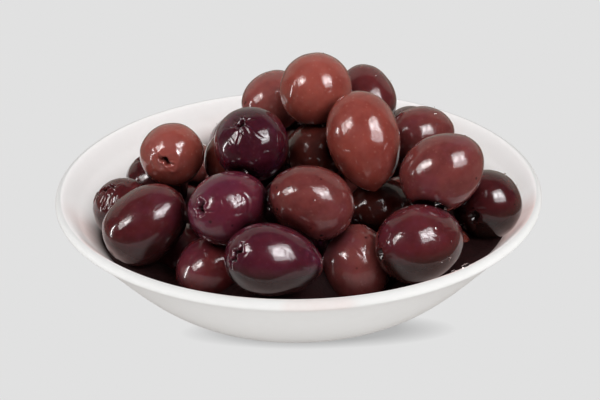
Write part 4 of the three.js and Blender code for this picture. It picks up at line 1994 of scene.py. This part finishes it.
FLOOR = "floor"
HEAP_PIECES = (*(tone.value.name for tone in Tone), "heap_core", "brine_beads", "brine_on_lip")
DISH_ALONE = (Dish.name,)
DISH_AND_FLOOR = (Dish.name, FLOOR)
WHITE: Colour = (1.0, 1.0, 1.0)
WARM: Colour = (1.0, 0.98, 0.97)
COOL: Colour = (0.98, 0.98, 1.0)
YELLOWISH: Colour = (1.0, 0.98, 0.86)


@dataclass
class Studio:
    """The pale floor, the soft lights, the dim room and the camera."""

    floor_size: float = 8.0
    floor_colour: Colour = (0.80, 0.80, 0.80)
    floor_lighter: float = 1.01
    floor_clouds: float = 6.0
    floor_roughness: float = 0.9
    floor_specular: float = 0.1
    # Painted reflection: what the olives mirror of the floor glows with these colours, near and far.
    table_near: Colour = (0.20, 0.155, 0.13)
    table_far: Colour = (0.04, 0.04, 0.04)
    room: Colour = (0.05, 0.05, 0.05)
    backdrop: Colour = (0.753, 0.753, 0.753)
    camera_distance: float = 0.8
    camera_elevation: float = 25.85
    camera_roll: float = -0.9
    sensor_width: float = 36.0
    pixels_wide: int = 600
    pixels_per_metre: float = 3468.0
    rim_pixel: tuple[float, float] = (298.35, 187.6)
    frame_middle: tuple[float, float] = (300.0, 200.0)
    target: Vector = field(default_factory=lambda: Vector((0.0, 0.0, 0.031)))
    table_reach: float = 0.33
    contact_shadow: tuple[float, float] = (0.0022, 0.08)
    shadow_samples: int = 16
    shadow_middle: tuple[float, float, float] = (0.005, -0.0293, 0.0)
    shadow_reach: tuple[float, float, float] = (0.0375, 0.0102, 1.0)
    shadow_edge: tuple[float, float] = (1.05, 0.6)
    shadow_depth: float = 0.39
    lights: tuple[SoftLight, ...] = (
        SoftLight("left_softbox", -64, 37, 19, 42, -42, 4.8, HEAP_PIECES, WARM),
        SoftLight("left_window", -64, 37, 20, 32, -24, 7.4, HEAP_PIECES, WARM, LightUse.MIRROR, 1.3),
        SoftLight("left_lamp", -57, 42, 10, 13, -24, 13.0, HEAP_PIECES, WARM, LightUse.MIRROR, 1.2),
        SoftLight("left_strip", -85, 4, 1.6, 30, -4, 45.0, HEAP_PIECES, WHITE, LightUse.MIRROR, 0.35),
        SoftLight("right_softbox", 52, 45, 46, 31, 6, 4.5, HEAP_PIECES, COOL),
        SoftLight("right_window", 51, 43, 33, 37, -16, 7.2, HEAP_PIECES, COOL, LightUse.MIRROR, 1.3),
        SoftLight("right_lamp_near", 42, 45, 11, 15, -16, 12.5, HEAP_PIECES, COOL, LightUse.MIRROR, 1.2),
        SoftLight("right_lamp_far", 61, 41, 10, 16, -16, 10.0, HEAP_PIECES, COOL, LightUse.MIRROR, 1.2),
        SoftLight("ceiling", 10, 80, 80, 80, 0, 0.75, HEAP_PIECES),
        SoftLight("back_wall", 180, 29, 120, 62, 0, 0.36, HEAP_PIECES, YELLOWISH, LightUse.MIRROR),
        SoftLight("dish_top", 0, 90, 125, 125, 0, 0.87, DISH_AND_FLOOR),
        SoftLight("dish_high", 0, 42, 60, 30, 0, 1.2, DISH_AND_FLOOR),
        SoftLight("dish_front", 0, 13, 90, 26, 0, 0.58, DISH_AND_FLOOR),
        SoftLight("dish_left", -90, 13, 90, 26, 0, 0.5, DISH_AND_FLOOR),
        SoftLight("dish_right", 90, 13, 90, 26, 0, 0.85, DISH_AND_FLOOR),
        SoftLight("dish_back", 180, 13, 90, 26, 0, 0.8, DISH_AND_FLOOR),
        SoftLight("dish_under", 0, -3, 90, 20, 0, 0.6, DISH_ALONE),
        SoftLight("dish_under_left", -75, -10, 64, 24, 0, 2.8, DISH_ALONE),
        SoftLight("dish_under_right", 75, -10, 64, 24, 0, 3.1, DISH_ALONE),
    )

    def floor_finish(self) -> bpy.types.Material:
        """The floor's finish: lit for light, dim in the olives' mirror and plain to the eye.

        Returns:
            The finished material.
        """
        material, graph, shader, place = new_material("pale_floor")
        lighter = tuple(channel * self.floor_lighter for channel in self.floor_colour)
        cloud = clouds(graph, place, self.floor_clouds)
        graph.fill(shader, {
            "Base Color": graph.blend(cloud, rgba(self.floor_colour), rgba(lighter)),
            "Roughness": self.floor_roughness,
            "Specular IOR Level": self.floor_specular,
        })
        # Painted reflection: in glossy rays the floor glows a fixed colour, darker past the near reach.
        apart = graph.add("ShaderNodeSeparateXYZ", {0: place})
        front = graph.math("GREATER_THAN", apart.outputs["Y"], -self.table_reach)
        mirror = graph.add("ShaderNodeEmission", {
            "Color": graph.blend(front, rgba(self.table_far), rgba(self.table_near))})
        plain = graph.add("ShaderNodeEmission", {
            "Color": rgba(self.backdrop), "Strength": self.floor_shade(graph, place)})
        path = graph.add("ShaderNodeLightPath")
        mix = graph.add("ShaderNodeMixShader", {
            0: path.outputs["Is Glossy Ray"], 1: shader.outputs[0], 2: mirror.outputs[0]})
        whole = graph.add("ShaderNodeMixShader", {
            0: path.outputs["Is Camera Ray"], 1: mix.outputs[0], 2: plain.outputs[0]})
        graph.put(whole.outputs[0], graph.tree.nodes["Material Output"].inputs["Surface"])
        return material

    def floor_shade(self, graph: Graph, place: bpy.types.NodeSocket) -> bpy.types.NodeSocket:
        """How light the floor is: a soft oval shadow, and a thin one next to the foot.

        Args:
            graph: The floor's graph.
            place: A point's place on the floor.

        Returns:
            A value of 1 in the open and less in the shadow.
        """
        off = graph.add("ShaderNodeVectorMath", {0: place, 1: self.shadow_middle}, operation="SUBTRACT")
        scaled = graph.add("ShaderNodeVectorMath", {0: off.outputs[0], 1: self.shadow_reach},
                           operation="DIVIDE")
        away = graph.add("ShaderNodeVectorMath", {0: scaled.outputs[0]}, operation="LENGTH")
        cast = graph.span(away.outputs["Value"], self.shadow_edge, (0.0, self.shadow_depth))
        reach, depth = self.contact_shadow
        open_air = graph.add("ShaderNodeAmbientOcclusion", {"Distance": reach},
                             samples=self.shadow_samples).outputs["AO"]
        touch = graph.math("MULTIPLY", graph.math("SUBTRACT", 1.0, open_air), depth)
        return graph.math("MULTIPLY", graph.math("SUBTRACT", 1.0, cast),
                          graph.math("SUBTRACT", 1.0, touch))

    def floor(self) -> bpy.types.Object:
        """Makes the floor, paler to the eye than in the olives' reflections.

        Returns:
            The floor.
        """
        half = self.floor_size / 2
        mesh = bpy.data.meshes.new(FLOOR)
        mesh.from_pydata([(-half, -half, 0), (half, -half, 0), (half, half, 0), (-half, half, 0)], [],
                         [(0, 1, 2, 3)])
        mesh.materials.append(self.floor_finish())
        floor = bpy.data.objects.new(FLOOR, mesh)
        bpy.context.scene.collection.objects.link(floor)
        return floor

    def world(self) -> None:
        """Fills the room with a dim even light behind a pale backdrop."""
        world = bpy.data.worlds.new("room")
        world.use_nodes = True
        graph = Graph(world.node_tree)
        path = graph.add("ShaderNodeLightPath")
        colour = graph.blend(path.outputs["Is Camera Ray"], rgba(self.room), rgba(self.backdrop))
        graph.put(colour, world.node_tree.nodes["Background"].inputs["Color"])
        bpy.context.scene.world = world

    def camera(self) -> bpy.types.Object:
        """Makes the camera, aimed at the middle of the rim's plane.

        Returns:
            The camera, set as the scene's own.
        """
        data = bpy.data.cameras.new("camera")
        data.sensor_width = self.sensor_width
        data.lens = self.sensor_width * self.pixels_per_metre * self.camera_distance / self.pixels_wide
        data.shift_x = (self.frame_middle[0] - self.rim_pixel[0]) / self.pixels_wide
        data.shift_y = (self.rim_pixel[1] - self.frame_middle[1]) / self.pixels_wide
        lift = math.radians(self.camera_elevation)
        back = Vector((0.0, -math.cos(lift), math.sin(lift)))
        camera = bpy.data.objects.new("camera", data)
        roll = Matrix.Rotation(math.radians(self.camera_roll), 4, "Z")
        place = Matrix.Translation(self.target + back * self.camera_distance)
        camera.matrix_world = place @ (-back).to_track_quat("-Z", "Y").to_matrix().to_4x4() @ roll
        bpy.context.scene.collection.objects.link(camera)
        bpy.context.scene.camera = camera
        return camera

    def build(self) -> None:
        """Sets up the whole studio."""
        self.camera()
        self.floor()
        self.world()
        for light in self.lights:
            light.build(self.target)
        bpy.context.scene.view_settings.view_transform = "Standard"
        LOG.info("studio: %d lights", len(self.lights))


def main() -> None:
    """Builds every piece in order."""
    logging.basicConfig(level=logging.INFO, format="%(name)s: %(message)s")
    form = DishForm()
    heap = OliveHeap(HeapLayout(form), OliveForm())
    olives = heap.lay()
    Dish(form, GlazeFinish()).build(olives)
    heap.build(olives)
    Brine(form, BrineFinish()).build(olives)
    Studio().build()


if __name__ == "__main__":
    main()
